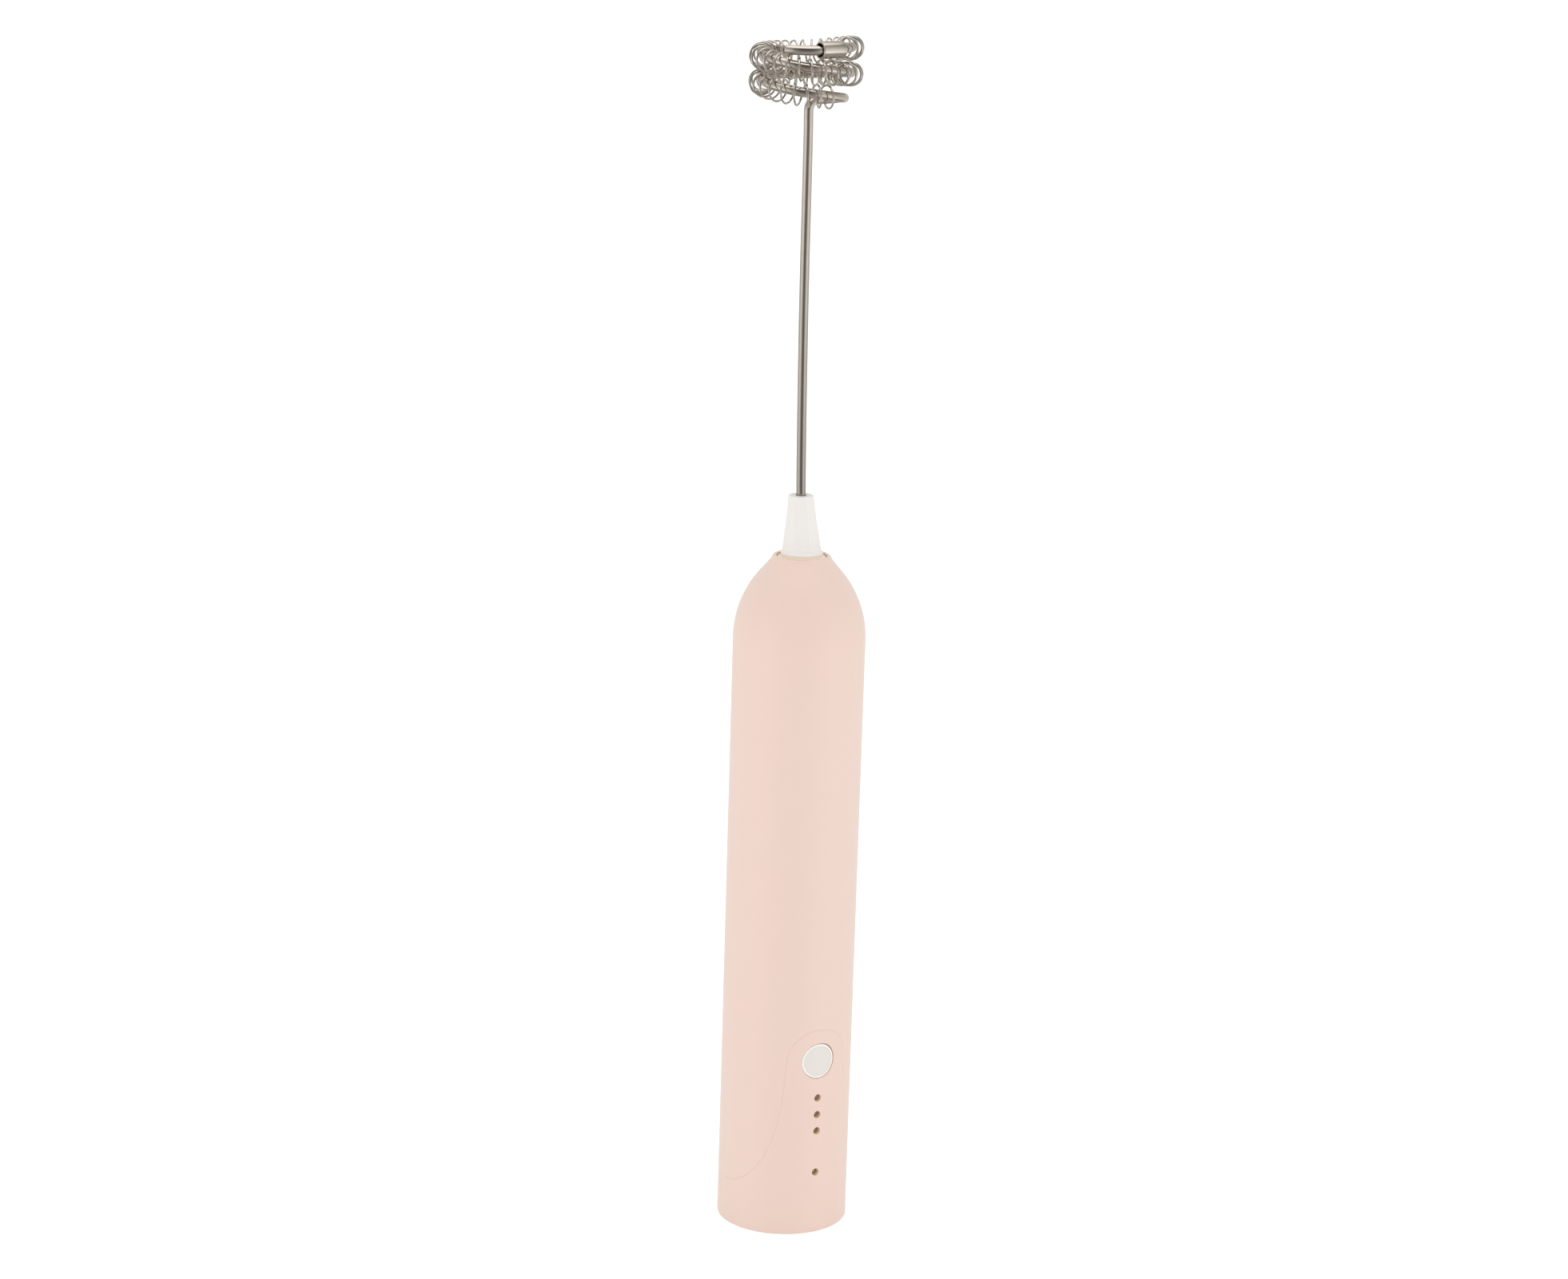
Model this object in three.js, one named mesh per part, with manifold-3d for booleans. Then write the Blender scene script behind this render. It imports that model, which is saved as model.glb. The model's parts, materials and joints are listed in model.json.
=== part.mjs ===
// Hand-held rechargeable milk frother, standing on the flat end of its handle.
// Millimetres, +Z up. The origin is the centre of the flat end, and the control panel faces -Y.
// From the bottom up: a base cap with a tongue-shaped control panel, a tubular upper shell with a
// domed shoulder, a pull-off whisk head (fluted cone, wire shaft, two-turn ring, coil spring and
// ferrule), and inside them a chassis with a circuit board, a lithium cell and a small DC motor.
import * as THREE from "three";
import { mergeVertices } from "three/addons/utils/BufferGeometryUtils.js";
import Module from "manifold-3d";

const wasm = await Module();
wasm.setup();

// ---- driving dimensions ----------------------------------------------------------------------
const BODY_R = 14; // outer radius of the handle
const WALL = 1.7; // shell wall
const NECK_Z = 147.35; // top of the handle
const NECK_R = 6;
const SHOULDER_Z = 129.5; // where the tube starts to curve in
const SHOULDER_ARC = 21.9; // radius of that curve
const GAP = 0.3; // seam between the two shells
const BUTTON_Z = 39.2;
const BUTTON_R = 3.85;
const PANEL_R = 7; // half width of the control panel, and the radius of its arched top
const SKIRT_Z = 9.6; // seam height round the back
const LED_ZS = { speed_led_high: 30.8, speed_led_medium: 27, speed_led_low: 23.3, charge_led: 13.8 };
const BOARD_Y = -6.6; // front face of the circuit board
const BOARD_T = 1.2;
const CELL_R = 7.1;
const CELL_Z = 50;
const CELL_LENGTH = 50;
const MOTOR_Z = 109; // back of the motor
const MOTOR_CAP = 5; // its plastic end cap
const MOTOR_TOP = 135; // front face of its can
const MOTOR_R = 10.05;
const MOTOR_FLAT = 7.55; // half distance across its flats
const CONE_Z = 147.75; // underside of the cone's flange
const CONE_TOP = 160.2;
const WIRE_R = 1; // whisk shaft and ring
const RING_R = 9.2; // centreline of the ring
const RING_X = -2.24; // its middle, a little to the left of the handle's axis
const SPRING_R = 2.3; // centreline of the small coils round the ring
const SPRING_WIRE_R = 0.225;
const WHISK_YAW = -30.5; // degrees the whisk is turned at rest

const INNER_R = BODY_R - WALL;
const TURNED = 36; // sides of a large round piece
const ROUND = 20; // sides of a small one
const SLACK = 0.05; // clearance between faces that meet

// ---- solids ------------------------------------------------------------------------------------

// A closed geometry as a manifold solid with its faces pointing out.
function solid(geometry) {
  const bare = new THREE.BufferGeometry().setAttribute("position", geometry.getAttribute("position"));
  bare.setIndex(geometry.index);
  const merged = mergeVertices(bare, 1e-4);
  const corners = [];
  const all = merged.index.array;
  for (let i = 0; i < all.length; i += 3) {
    const [a, b, c] = all.subarray(i, i + 3);
    if (a !== b && b !== c && c !== a) corners.push([a, b, c]);
  }
  const build = (list) =>
    new wasm.Manifold(
      new wasm.Mesh({
        numProp: 3,
        vertProperties: merged.attributes.position.array,
        triVerts: new Uint32Array(list.flat()),
      }),
    );
  const made = build(corners);
  return made.volume() < 0 ? build(corners.map(([a, b, c]) => [a, c, b])) : made;
}

// A manifold solid as a three.js geometry.
function geometryOf(made) {
  const mesh = made.getMesh();
  const geometry = new THREE.BufferGeometry();
  geometry.setAttribute("position", new THREE.BufferAttribute(mesh.vertProperties, 3));
  geometry.setIndex(new THREE.BufferAttribute(mesh.triVerts, 1));
  geometry.computeVertexNormals();
  return geometry;
}

const joined = (...solids) => solids.reduce((sum, next) => sum.add(next));
const cut = (from, ...tools) => tools.reduce((rest, tool) => rest.subtract(tool), from);

// A profile of [radius, height] points turned about +Z.
function turned(profile, sides = TURNED) {
  const points = profile.map(([r, z]) => new THREE.Vector2(r, z));
  return solid(new THREE.LatheGeometry([...points, points[0]], sides).rotateX(Math.PI / 2));
}

// A ring, or a disc where inner is 0, between two heights.
function ring(inner, outer, low, high, sides = ROUND) {
  return turned([[inner, low], [outer, low], [outer, high], [inner, high]], sides);
}

// A box given by its lowest and highest corners.
function block([x0, y0, z0], [x1, y1, z1]) {
  const geometry = new THREE.BoxGeometry(x1 - x0, y1 - y0, z1 - z0);
  return solid(geometry.translate((x0 + x1) / 2, (y0 + y1) / 2, (z0 + z1) / 2));
}

// An upright rod at x, y.
function post(x, y, radius, low, high, sides = ROUND) {
  return ring(0, radius, low, high, sides).translate(x, y, 0);
}

// A rod along Y at x, z.
function pin(x, z, radius, front, back, sides = ROUND) {
  const geometry = new THREE.CylinderGeometry(radius, radius, back - front, sides);
  return solid(geometry.translate(x, (front + back) / 2, z));
}

// A smooth curve whose sections are spread evenly between its points, not along its length, so that
// a long straight stretch takes few of them.
class WirePath extends THREE.CatmullRomCurve3 {
  getPointAt(u, target) {
    return this.getPoint(u, target);
  }
  getTangentAt(u, target) {
    return this.getTangent(u, target);
  }
}

// A round wire along a curve, with an even number of sides.
function wire(curve, radius, sides, steps) {
  const circle = new THREE.Path().absarc(0, 0, radius, 0, 2 * Math.PI);
  const section = new THREE.Shape(circle.getPoints(sides / 2));
  return solid(new THREE.ExtrudeGeometry(section, { steps, extrudePath: curve }));
}

// ---- the seam between the two shells -------------------------------------------------------------

// Half of the seam, unrolled: x is the distance round the handle from the front, y is the height.
function seamPath() {
  const reach = BODY_R * Math.asin(PANEL_R / BODY_R);
  const path = new THREE.Path();
  path.absellipse(0, BUTTON_Z, reach, PANEL_R, Math.PI / 2, 0, true);
  path.bezierCurveTo(reach + 0.6, 22, 12, 10, 24, SKIRT_Z);
  path.lineTo(Math.PI * BODY_R, SKIRT_Z);
  return path;
}

// Everything below the seam, as a thick ring round the axis; grow moves its top edge outwards.
function belowSeam(grow) {
  const steps = 40;
  const path = seamPath();
  const half = [];
  for (let i = 0; i <= steps; i++) {
    const at = path.getPointAt(i / steps);
    const along = path.getTangentAt(i / steps);
    if (i === 0 || i === steps) along.set(1, 0);
    const round = i === steps ? Math.PI : (at.x - along.y * grow) / BODY_R;
    half.push([round, at.y + along.x * grow]);
  }
  const loop = [...half.slice(1).reverse().map(([a, z]) => [-a, z]), ...half.slice(0, -1)];
  const inner = 5;
  const outer = BODY_R + 2;
  const bottom = -1;
  const positions = [];
  for (const [a, z] of loop) {
    for (const [r, h] of [[inner, bottom], [outer, bottom], [outer, z], [inner, z]]) {
      positions.push(r * Math.sin(a), -r * Math.cos(a), h);
    }
  }
  const index = [];
  for (let i = 0; i < loop.length; i++) {
    const here = 4 * i;
    const next = 4 * ((i + 1) % loop.length);
    for (let k = 0; k < 4; k++) {
      const m = (k + 1) % 4;
      index.push(here + k, next + k, next + m, here + k, next + m, here + m);
    }
  }
  const geometry = new THREE.BufferGeometry();
  geometry.setAttribute("position", new THREE.Float32BufferAttribute(positions, 3));
  geometry.setIndex(index);
  return solid(geometry);
}

// ---- handle shells ---------------------------------------------------------------------------------

const SNAP_Z = 11.6; // height of the groove that the base cap snaps into
const WELL_R = 5.3; // the socket in the neck that the cone stands in
const WELL_Z = 138.6; // its floor
const SEAL_HOLE_R = 2.6;
const BULKHEAD_Z = 137.2;

// Radius of the handle's outside at a height on the shoulder.
function shoulderRadius(z) {
  const up = z - SHOULDER_Z;
  return BODY_R - SHOULDER_ARC + Math.sqrt(SHOULDER_ARC ** 2 - up ** 2);
}

function upperShell() {
  const arcTop = 144;
  const arcSteps = 7;
  const outside = [];
  for (let i = 0; i <= arcSteps; i++) {
    const z = SHOULDER_Z + ((arcTop - SHOULDER_Z) * i) / arcSteps;
    outside.push([shoulderRadius(z), z]);
  }
  const inside = [...outside]
    .filter(([, z]) => z < 141)
    .reverse()
    .map(([r, z]) => [r - WALL, z - 0.6]);
  const tube = turned([
    [BODY_R, 5],
    ...outside,
    [7.3, 145.5],
    [NECK_R + 0.35, NECK_Z - 0.5],
    [NECK_R, NECK_Z],
    [WELL_R, NECK_Z],
    [WELL_R, WELL_Z],
    [SEAL_HOLE_R, WELL_Z],
    [SEAL_HOLE_R, BULKHEAD_Z],
    [WELL_R + 1.2, BULKHEAD_Z],
    [WELL_R + 1.2, 141.6],
    ...inside,
    [INNER_R, SNAP_Z + 1],
    [INNER_R + 0.5, SNAP_Z + 0.6],
    [INNER_R + 0.5, SNAP_Z - 0.6],
    [INNER_R, SNAP_Z - 0.8],
    [INNER_R, 5],
  ]);
  return cut(tube, belowSeam(GAP / 2));
}

const USB_Y = BOARD_Y - 1.63; // centre of the charging socket
const FLOOR = 2.2;
const LIP_R = 11.2; // inside of the lip that stands up in the upper shell
const LIP_Z = 13;
const POST_X = 6; // chassis posts that rest on the base cap
const POST_Y = 5.5;

function baseCap() {
  const ringTop = SKIRT_Z - GAP / 2 - 0.15;
  const foot = turned([
    [0, 0.5],
    [11.4, 0.5],
    [11.6, 0],
    [13.2, 0],
    [13.77, 0.23],
    [BODY_R, 0.8],
    [BODY_R, ringTop],
    [LIP_R, ringTop],
    [LIP_R, FLOOR],
    [0, FLOOR],
  ]);
  const wall = ring(INNER_R, BODY_R, ringTop - 1, 50, TURNED).intersect(belowSeam(-GAP / 2));
  const lip = cut(
    ring(LIP_R, INNER_R - 0.25, ringTop - 1, LIP_Z, TURNED),
    block([-9, -BODY_R, ringTop], [9, 0, LIP_Z + 1]),
  );
  const hooks = [60, 180, 300].map((turn) =>
    turned([
      [INNER_R - 0.6, SNAP_Z - 0.3],
      [INNER_R + 0.2, SNAP_Z - 0.3],
      [INNER_R + 0.2, SNAP_Z],
      [INNER_R - 0.6, SNAP_Z + 0.7],
    ])
      .intersect(block([-3, -BODY_R, 0], [3, 0, 20]))
      .rotate([0, 0, turn]),
  );
  const panel = joined(foot, wall, lip, ...hooks);
  const tools = [
    pin(0, BUTTON_Z, BUTTON_R + 0.2, -16, -9, 24),
    pin(0, BUTTON_Z, 5.1, -12, -8, 24),
    block([-4.75, USB_Y - 1.9, -1], [4.75, USB_Y + 1.9, FLOOR + 1]),
    ...Object.values(LED_ZS).map((z) => pin(0, z, 0.8, -16, -9, 12)),
  ];
  return cut(panel, ...tools);
}

// ---- chassis -----------------------------------------------------------------------------------------

const CHASSIS_R = 12;
const TRAY_R = 10.8;
const TRAY_Z = 13.5;
const PLATE_Z = MOTOR_TOP + 0.2; // the plate over the motor's face

// The part of a solid behind the plane y = front.
const behind = (made, front) => made.intersect(block([-20, front, 0], [20, 20, 200]));

function chassis() {
  const wall = behind(ring(TRAY_R, CHASSIS_R, TRAY_Z, 128, TURNED), 0);
  const neck = behind(
    turned([[6, 127.9], [CHASSIS_R, 127.9], [10.6, PLATE_Z + 1.2], [6, PLATE_Z + 1.2]]),
    MOTOR_FLAT + 0.2,
  );
  const parts = [wall, neck, cut(ring(0, 10.4, PLATE_Z, PLATE_Z + 1.2, TURNED), post(0, 0, 3.3, 130, 140))];
  parts.push(behind(ring(0, 11.4, TRAY_Z, TRAY_Z + 1.5, TURNED), -4.5));
  for (const z of [47.5, 101.5]) {
    parts.push(behind(ring(0, 11.4, z, z + 1.5, TURNED), -6));
  }
  for (const z of [58, 74.2, 90.4]) {
    parts.push(cut(behind(ring(0, 11.4, z, z + 1.6, TURNED), -3), post(0, 0, CELL_R + 0.2, z - 1, z + 3, 32)));
  }
  for (const z of [116, 128]) {
    const rib = behind(ring(0, 11.2, z, z + 1.6, TURNED), MOTOR_FLAT + 0.2);
    parts.push(rib);
  }
  for (const side of [-1, 1]) {
    parts.push(post(side * POST_X, POST_Y, 1.6, FLOOR + SLACK, TRAY_Z + 1, 14));
    parts.push(pin(side * 6.2, 24, 2, BOARD_Y + BOARD_T + 0.1, 8.4, 14));
  }
  const holes = [-1, 1].flatMap((side) => [
    pin(side * 6.2, 24, 1.1, -8, 2, 12),
    // channel for the leads that pass the plate between cell and motor
    block([side * 6 - 1.4, -9, 100], [side * 6 + 1.4, -4, 105]),
  ]);
  return cut(joined(...parts), ...holes);
}

function motorRetainer() {
  const half = cut(ring(TRAY_R, CHASSIS_R, 112, 128, TURNED), block([-20, -SLACK * 2, 0], [20, 20, 200]));
  const ribs = [116, 124.4].map((z) =>
    cut(ring(0, 11.2, z, z + 1.6, TURNED), block([-20, -MOTOR_FLAT - 0.2, 0], [20, 20, 200])),
  );
  return joined(half, ...ribs);
}

// A self-tapping screw pointing up, its head at the bottom, with a slot for the driver.
function screw(headR, headT, shankR, length) {
  const profile = [
    [0, 0],
    [headR, 0],
    [headR, headT * 0.6],
    [headR * 0.8, headT],
    [shankR, headT],
    [shankR, headT + length - shankR],
    [0, headT + length],
  ];
  const slot = (w, d) => block([-w, -d, -1], [w, d, headT * 0.5]);
  return cut(turned(profile, 14), slot(headR * 0.65, 0.2), slot(0.2, headR * 0.65));
}

const boardScrew = (side) =>
  screw(1.6, 0.8, 0.85, 6).rotate([-90, 0, 0]).translate(side * 6.2, BOARD_Y - 0.8 - SLACK, 24);

// ---- circuit board and what is on it -------------------------------------------------------------------

function circuitBoard() {
  const board = block([-8.5, BOARD_Y, 2.6], [8.5, BOARD_Y + BOARD_T, 45]);
  return cut(board, ...[-1, 1].map((side) => pin(side * 6.2, 24, 1.1, -10, 0, 12)));
}

const chip = (x, z, width, height, thick) =>
  block([x - width / 2, BOARD_Y - SLACK - thick, z - height / 2], [x + width / 2, BOARD_Y - SLACK, z + height / 2]);

const SWITCH_T = 3.5;
const PLUNGER_R = 1.75;
const PLUNGER_TIP = -10.9;

function switchBody() {
  const front = BOARD_Y - SLACK - SWITCH_T;
  return cut(chip(0, BUTTON_Z, 6, 6, SWITCH_T), pin(0, BUTTON_Z, PLUNGER_R + 0.15, front - 1, front + 1.6, 18));
}

const switchPlunger = () => pin(0, BUTTON_Z, PLUNGER_R, PLUNGER_TIP, BOARD_Y - SWITCH_T + 0.4, 18);

// The button: a slightly domed disc, a flange that the panel holds back, and a boss on the plunger.
function button() {
  const face = -13.75;
  const flange = -11.9;
  const profile = [
    [0, -face + 0.12],
    [BUTTON_R * 0.6, -face + 0.08],
    [BUTTON_R - 0.35, -face - 0.02],
    [BUTTON_R, -face - 0.35],
    [BUTTON_R, -flange],
    [4.8, -flange],
    [4.8, -flange - 0.8],
    [2.2, -flange - 0.8],
    [2.2, -PLUNGER_TIP + SLACK],
    [0, -PLUNGER_TIP + SLACK],
  ];
  return turned(profile, 28).rotate([90, 0, 0]).translate(0, 0, BUTTON_Z);
}

// The clear bar that carries light from the four LEDs to the holes in the panel.
function lightGuide() {
  const bar = block([-2.2, -11.5, 12.3], [2.2, -10.7, 32.4]);
  const pipes = Object.values(LED_ZS).flatMap((z) => [
    pin(0, z, 0.6, -13, -11, 10),
    pin(0, z, 1.1, -11, BOARD_Y - 1.1, 10),
  ]);
  return joined(bar, ...pipes);
}

const LED_T = 0.8;
const led = (z) => chip(0, z, 1.6, 0.9, LED_T);

// USB-C socket: a steel shell with its mouth down, and the plastic tongue inside it.
const USB_W = 4.47;
const USB_H = 1.63;
const USB_Z = 0.7;

function roundedBar(halfWidth, halfDepth, low, high) {
  const shape = new THREE.Shape();
  const straight = halfWidth - halfDepth;
  shape.absarc(straight, 0, halfDepth, -Math.PI / 2, Math.PI / 2, false);
  shape.absarc(-straight, 0, halfDepth, Math.PI / 2, (3 * Math.PI) / 2, false);
  const geometry = new THREE.ExtrudeGeometry(shape, { depth: high - low, bevelEnabled: false, curveSegments: 8 });
  return solid(geometry).translate(0, USB_Y, low);
}

const usbShell = () =>
  cut(
    roundedBar(USB_W, USB_H - SLACK, USB_Z, USB_Z + 7.3),
    roundedBar(USB_W - 0.3, USB_H - 0.35, USB_Z - 1, USB_Z + 6),
  );
const usbTongue = () => block([-3.3, USB_Y - 0.35, USB_Z + 0.6], [3.3, USB_Y + 0.35, USB_Z + 5.9]);

// ---- cell and wiring ---------------------------------------------------------------------------------------

function cell() {
  const top = CELL_Z + CELL_LENGTH;
  return turned(
    [
      [0, CELL_Z],
      [CELL_R - 0.5, CELL_Z],
      [CELL_R, CELL_Z + 0.5],
      [CELL_R, top - 1.8],
      [CELL_R - 0.6, top - 1.2],
      [2.9, top - 1.2],
      [2.6, top],
      [0, top],
    ],
    28,
  );
}

// A nickel strip across one end of the cell, bent down over its front.
function cellTab(z, up) {
  const sheet = 0.25;
  const end = z + up * sheet;
  const flat = block([-2, -CELL_R - 0.7, Math.min(z, end)], [2, 3, Math.max(z, end)]);
  const down = end - up * 5;
  return joined(
    flat,
    block([-2, -CELL_R - 0.7, Math.min(down, end)], [2, -CELL_R - 0.45, Math.max(down, end)]),
  );
}

// A lead through hand-placed points.
const lead = (points) =>
  wire(new WirePath(points.map((p) => new THREE.Vector3(...p))), 0.6, 8, 3 * (points.length - 1));

const batteryLeadPositive = () =>
  lead([[-1, -8.6, 96.8], [-1.4, -9.2, 92], [-2.2, -9.6, 80], [-2.4, -9.4, 62], [-2.6, -8.8, 50], [-2.6, -7.5, 44.2]]);
const batteryLeadNegative = () =>
  lead([[1, -8.6, 53.2], [1.6, -9.1, 50.6], [2.4, -8.8, 47.6], [2.6, -7.5, 44.2]]);
const motorLead = (side) =>
  lead([
    [side * 5.4, -3, 107.6],
    [side * 6, -5.4, 104.6],
    [side * 6, -6.8, 101],
    [side * 6.4, -7.6, 94],
    [side * 6.2, -8, 76],
    [side * 5.6, -8.4, 58],
    [side * 5.4, -7.5, 44.2],
  ]);

// ---- motor ---------------------------------------------------------------------------------------------------

// A round bar with two flats, from low to high.
const flatted = (r, flat, low, high) =>
  ring(0, r, low, high, 36).intersect(block([-r, -flat, low], [r, flat, high]));

function motorCan() {
  const low = MOTOR_Z + MOTOR_CAP;
  const body = flatted(MOTOR_R, MOTOR_FLAT, low, MOTOR_TOP);
  const inside = flatted(MOTOR_R - 0.8, MOTOR_FLAT - 0.8, low - 1, MOTOR_TOP - 0.8);
  const boss = ring(0, 3, MOTOR_TOP - 0.1, MOTOR_TOP + 1.5);
  return cut(joined(body, boss), inside, ring(0, 2.3, low, MOTOR_TOP + 2));
}

function motorEndCap() {
  const top = MOTOR_Z + MOTOR_CAP;
  const body = flatted(MOTOR_R - 0.1, MOTOR_FLAT - 0.1, MOTOR_Z, top - SLACK);
  const hollow = flatted(MOTOR_R - 1.6, MOTOR_FLAT - 1.6, MOTOR_Z + 2, top + 1);
  const slots = [-1, 1].map((side) => block([side * 6 - 1, -2.7, MOTOR_Z - 1], [side * 6 + 1, -2, top]));
  return cut(body, hollow, ring(0, 2.3, MOTOR_Z - 1, top), ...slots);
}

const motorTerminal = (side) =>
  block([side * 6 - 0.8, -2.5, MOTOR_Z - 2.2], [side * 6 + 0.8, -2.2, MOTOR_Z + 3.5]);
const frontBush = () => ring(WIRE_R + 0.1, 2.2, MOTOR_TOP - 1.5, MOTOR_TOP + 1.4);
const rearBush = () => ring(WIRE_R + 0.1, 2.2, MOTOR_Z + 0.1, MOTOR_Z + 2.2);

const ROTOR_R = 6.3;

// A curved magnet on one round side of the can.
function magnet(side) {
  const arc = ring(ROTOR_R + 0.4, MOTOR_R - 0.9, MOTOR_Z + MOTOR_CAP + 1, MOTOR_TOP - 2.5, 36);
  return arc.intersect(block([side > 0 ? 4 : -12, -6.5, 100], [side > 0 ? 12 : -4, 6.5, 140]));
}

const SHAFT_TOP = 146.4;
const COUPLER_Z = 140.1;
const COUPLER_R = 2.3; // to the corners of its hexagon

const motorShaft = () => ring(0, WIRE_R, MOTOR_Z - 1, SHAFT_TOP, 14);

// Three-pole laminated rotor on the shaft.
function armature() {
  const low = MOTOR_Z + MOTOR_CAP + 3;
  const high = MOTOR_TOP - 4.5;
  const poles = [0, 120, 240].map((turn) =>
    joined(
      block([-1.1, 0, low], [1.1, ROTOR_R - 0.5, high]),
      ring(ROTOR_R - 1.1, ROTOR_R, low, high, 36).intersect(block([-4.5, 2, low], [4.5, 8, high])),
    ).rotate([0, 0, turn]),
  );
  const core = joined(ring(0, 2.6, low, high), ...poles);
  return cut(core, ring(0, WIRE_R + 0.12, low - 1, high + 1));
}

const winding = (turn) => {
  const low = MOTOR_Z + MOTOR_CAP + 1.8;
  const high = MOTOR_TOP - 3.3;
  const coil = cut(
    block([-2.6, 2.7, low], [2.6, 4.2, high]),
    block([-1.25, 2, low + 1.05], [1.25, 6, high - 1.05]),
  );
  return coil.rotate([0, 0, turn]);
};
const commutator = () => ring(WIRE_R + 0.12, 2.1, MOTOR_Z + 2.6, MOTOR_Z + 6.4, 15);

// Hexagonal driver pressed on the motor shaft, with a lead-in at its top.
function driveCoupler() {
  const top = SHAFT_TOP + 0.8;
  const profile = [[0, COUPLER_Z], [COUPLER_R, COUPLER_Z], [COUPLER_R, top - 0.7], [COUPLER_R - 0.6, top], [0, top]];
  return cut(turned(profile, 6), ring(0, WIRE_R + 0.1, COUPLER_Z - 1, SHAFT_TOP + 0.1, 14));
}

// Rubber grommet in the neck's floor that keeps liquid off the motor.
function shaftSeal() {
  return turned([
    [WIRE_R + 0.12, 136.7],
    [3.4, 136.7],
    [3.4, BULKHEAD_Z - 0.1],
    [SEAL_HOLE_R - 0.15, BULKHEAD_Z - 0.1],
    [SEAL_HOLE_R - 0.15, WELL_Z + 0.1],
    [3.4, WELL_Z + 0.1],
    [2.4, WELL_Z + 1],
    [WIRE_R + 0.12, WELL_Z + 1],
  ], ROUND);
}

// ---- whisk head --------------------------------------------------------------------------------------------------

// How far the cone and the wire stand to the left at a height: the head sits a little crooked.
const crooked = (z) => -0.043 * Math.max(0, z - NECK_Z);

// Cone with six shallow flutes, a thin flange, and a spigot with a hexagonal socket below.
function whiskCone() {
  const sides = 36;
  const profile = [
    [0, COUPLER_Z + 0.2],
    [5, COUPLER_Z + 0.2],
    [5, NECK_Z - 0.35],
    [4.3, NECK_Z - 0.35],
    [4.3, CONE_Z],
    [4.45, CONE_Z],
    [4.45, CONE_Z + 0.35],
    [4.15, CONE_Z + 0.6],
    [4.05, CONE_Z + 1.2],
    [3.85, CONE_Z + 2.7],
    [3.48, CONE_Z + 5.2],
    [3.18, CONE_Z + 7.4],
    [2.9, CONE_TOP - 2.7],
    [2.7, CONE_TOP - 0.5],
    [2.5, CONE_TOP],
    [0, CONE_TOP],
  ];
  const lathe = new THREE.LatheGeometry(profile.map(([r, z]) => new THREE.Vector2(r, z)), sides);
  const place = lathe.getAttribute("position");
  for (let i = 0; i < place.count; i++) {
    const z = place.getY(i);
    const fluted = z > CONE_Z + 1 && z < CONE_TOP - 1;
    const turn = Math.atan2(place.getZ(i), place.getX(i));
    const scale = fluted ? 1 - 0.045 * (1 + Math.cos(6 * turn)) : 1;
    place.setXYZ(i, place.getX(i) * scale, z, place.getZ(i) * scale);
  }
  const socket = ring(0, COUPLER_R + 0.3, COUPLER_Z - 1, SHAFT_TOP + 1.4, 6);
  const bore = ring(0, WIRE_R + 0.12, SHAFT_TOP + 3.6, CONE_TOP + 1, 14);
  const cone = cut(solid(lathe.rotateX(Math.PI / 2)), bore);
  return cut(cone.warp((at) => (at[0] += crooked(at[2]))), socket);
}

// Heights of the ring's wire, and how far the loose coils hang below it, at every quarter turn.
const LEVELS = [243.1, 244.95, 246.7, 246.8, 248.25, 250.05, 251.85, 251.5, 253.45, 253.35, 253.35];
const SAGS = [-0.2, 0.45, 0.8, 0.3, 0.3, 0.6, 0.7, 0.2, 0.15, 0.1, 0.1];

// A value given at every quarter turn, eased between them.
function byQuarter(values, turn) {
  const at = THREE.MathUtils.clamp(turn / 90, 0, values.length - 1.001);
  const k = Math.floor(at);
  const t = at - k;
  const [a, b, c, d] = [-1, 0, 1, 2].map((i) => values[THREE.MathUtils.clamp(k + i, 0, values.length - 1)]);
  return b + 0.5 * t * (c - a + (2 * a - 5 * b + 4 * c - d + (3 * b - a - 3 * c + d) * t) * t);
}

// A point on the ring: turn is in degrees, clockwise from the right, and rises as it goes.
function ringPoint(turn) {
  const a = THREE.MathUtils.degToRad(turn);
  const radius = RING_R - 1.7 * Math.exp(-turn / 28);
  return new THREE.Vector3(RING_X + radius * Math.cos(a), -radius * Math.sin(a), byQuarter(LEVELS, turn));
}

const TIP_TURN = 835; // bare end of the wire
const SPRING_TURNS = [53, 749];
const FERRULE_TURN = 776;

// A long shaft that leaves the cone crooked and bends straight, then two and a third turns of ring.
function whiskShaft() {
  const bend = [
    [crooked(SHAFT_TOP + 4), 0, SHAFT_TOP + 4],
    [crooked(CONE_TOP), 0, CONE_TOP],
    [-0.78, 0, 170],
    [-1.05, 0, 187],
    [-1.25, 0, 205],
    [-1.36, 0, 230],
    [-1.42, 0, 238],
    [-1.47, 0, 240.2],
    [-1.16, 0.3, 241.6],
    [-0.23, 1.1, 242.3],
    [1.37, 2.2, 242.5],
    [3.17, 2.5, 242.68],
    [4.67, 1.6, 242.85],
  ];
  const points = bend.map((p) => new THREE.Vector3(...p));
  const steps = 50;
  for (let i = 0; i <= steps; i++) points.push(ringPoint((TIP_TURN * i) / steps));
  return wire(new WirePath(points, false, "centripetal"), WIRE_R, 8, points.length - 1);
}

// Coils of the spring before a turn: they lie closer at the back and in the upper round.
function coilsUntil(turn) {
  const front = Math.cos(THREE.MathUtils.degToRad(turn));
  return 0.365 + 0.0758 * turn + 0.25 * front + 0.0029 * Math.max(0, turn - 443.5);
}

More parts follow.
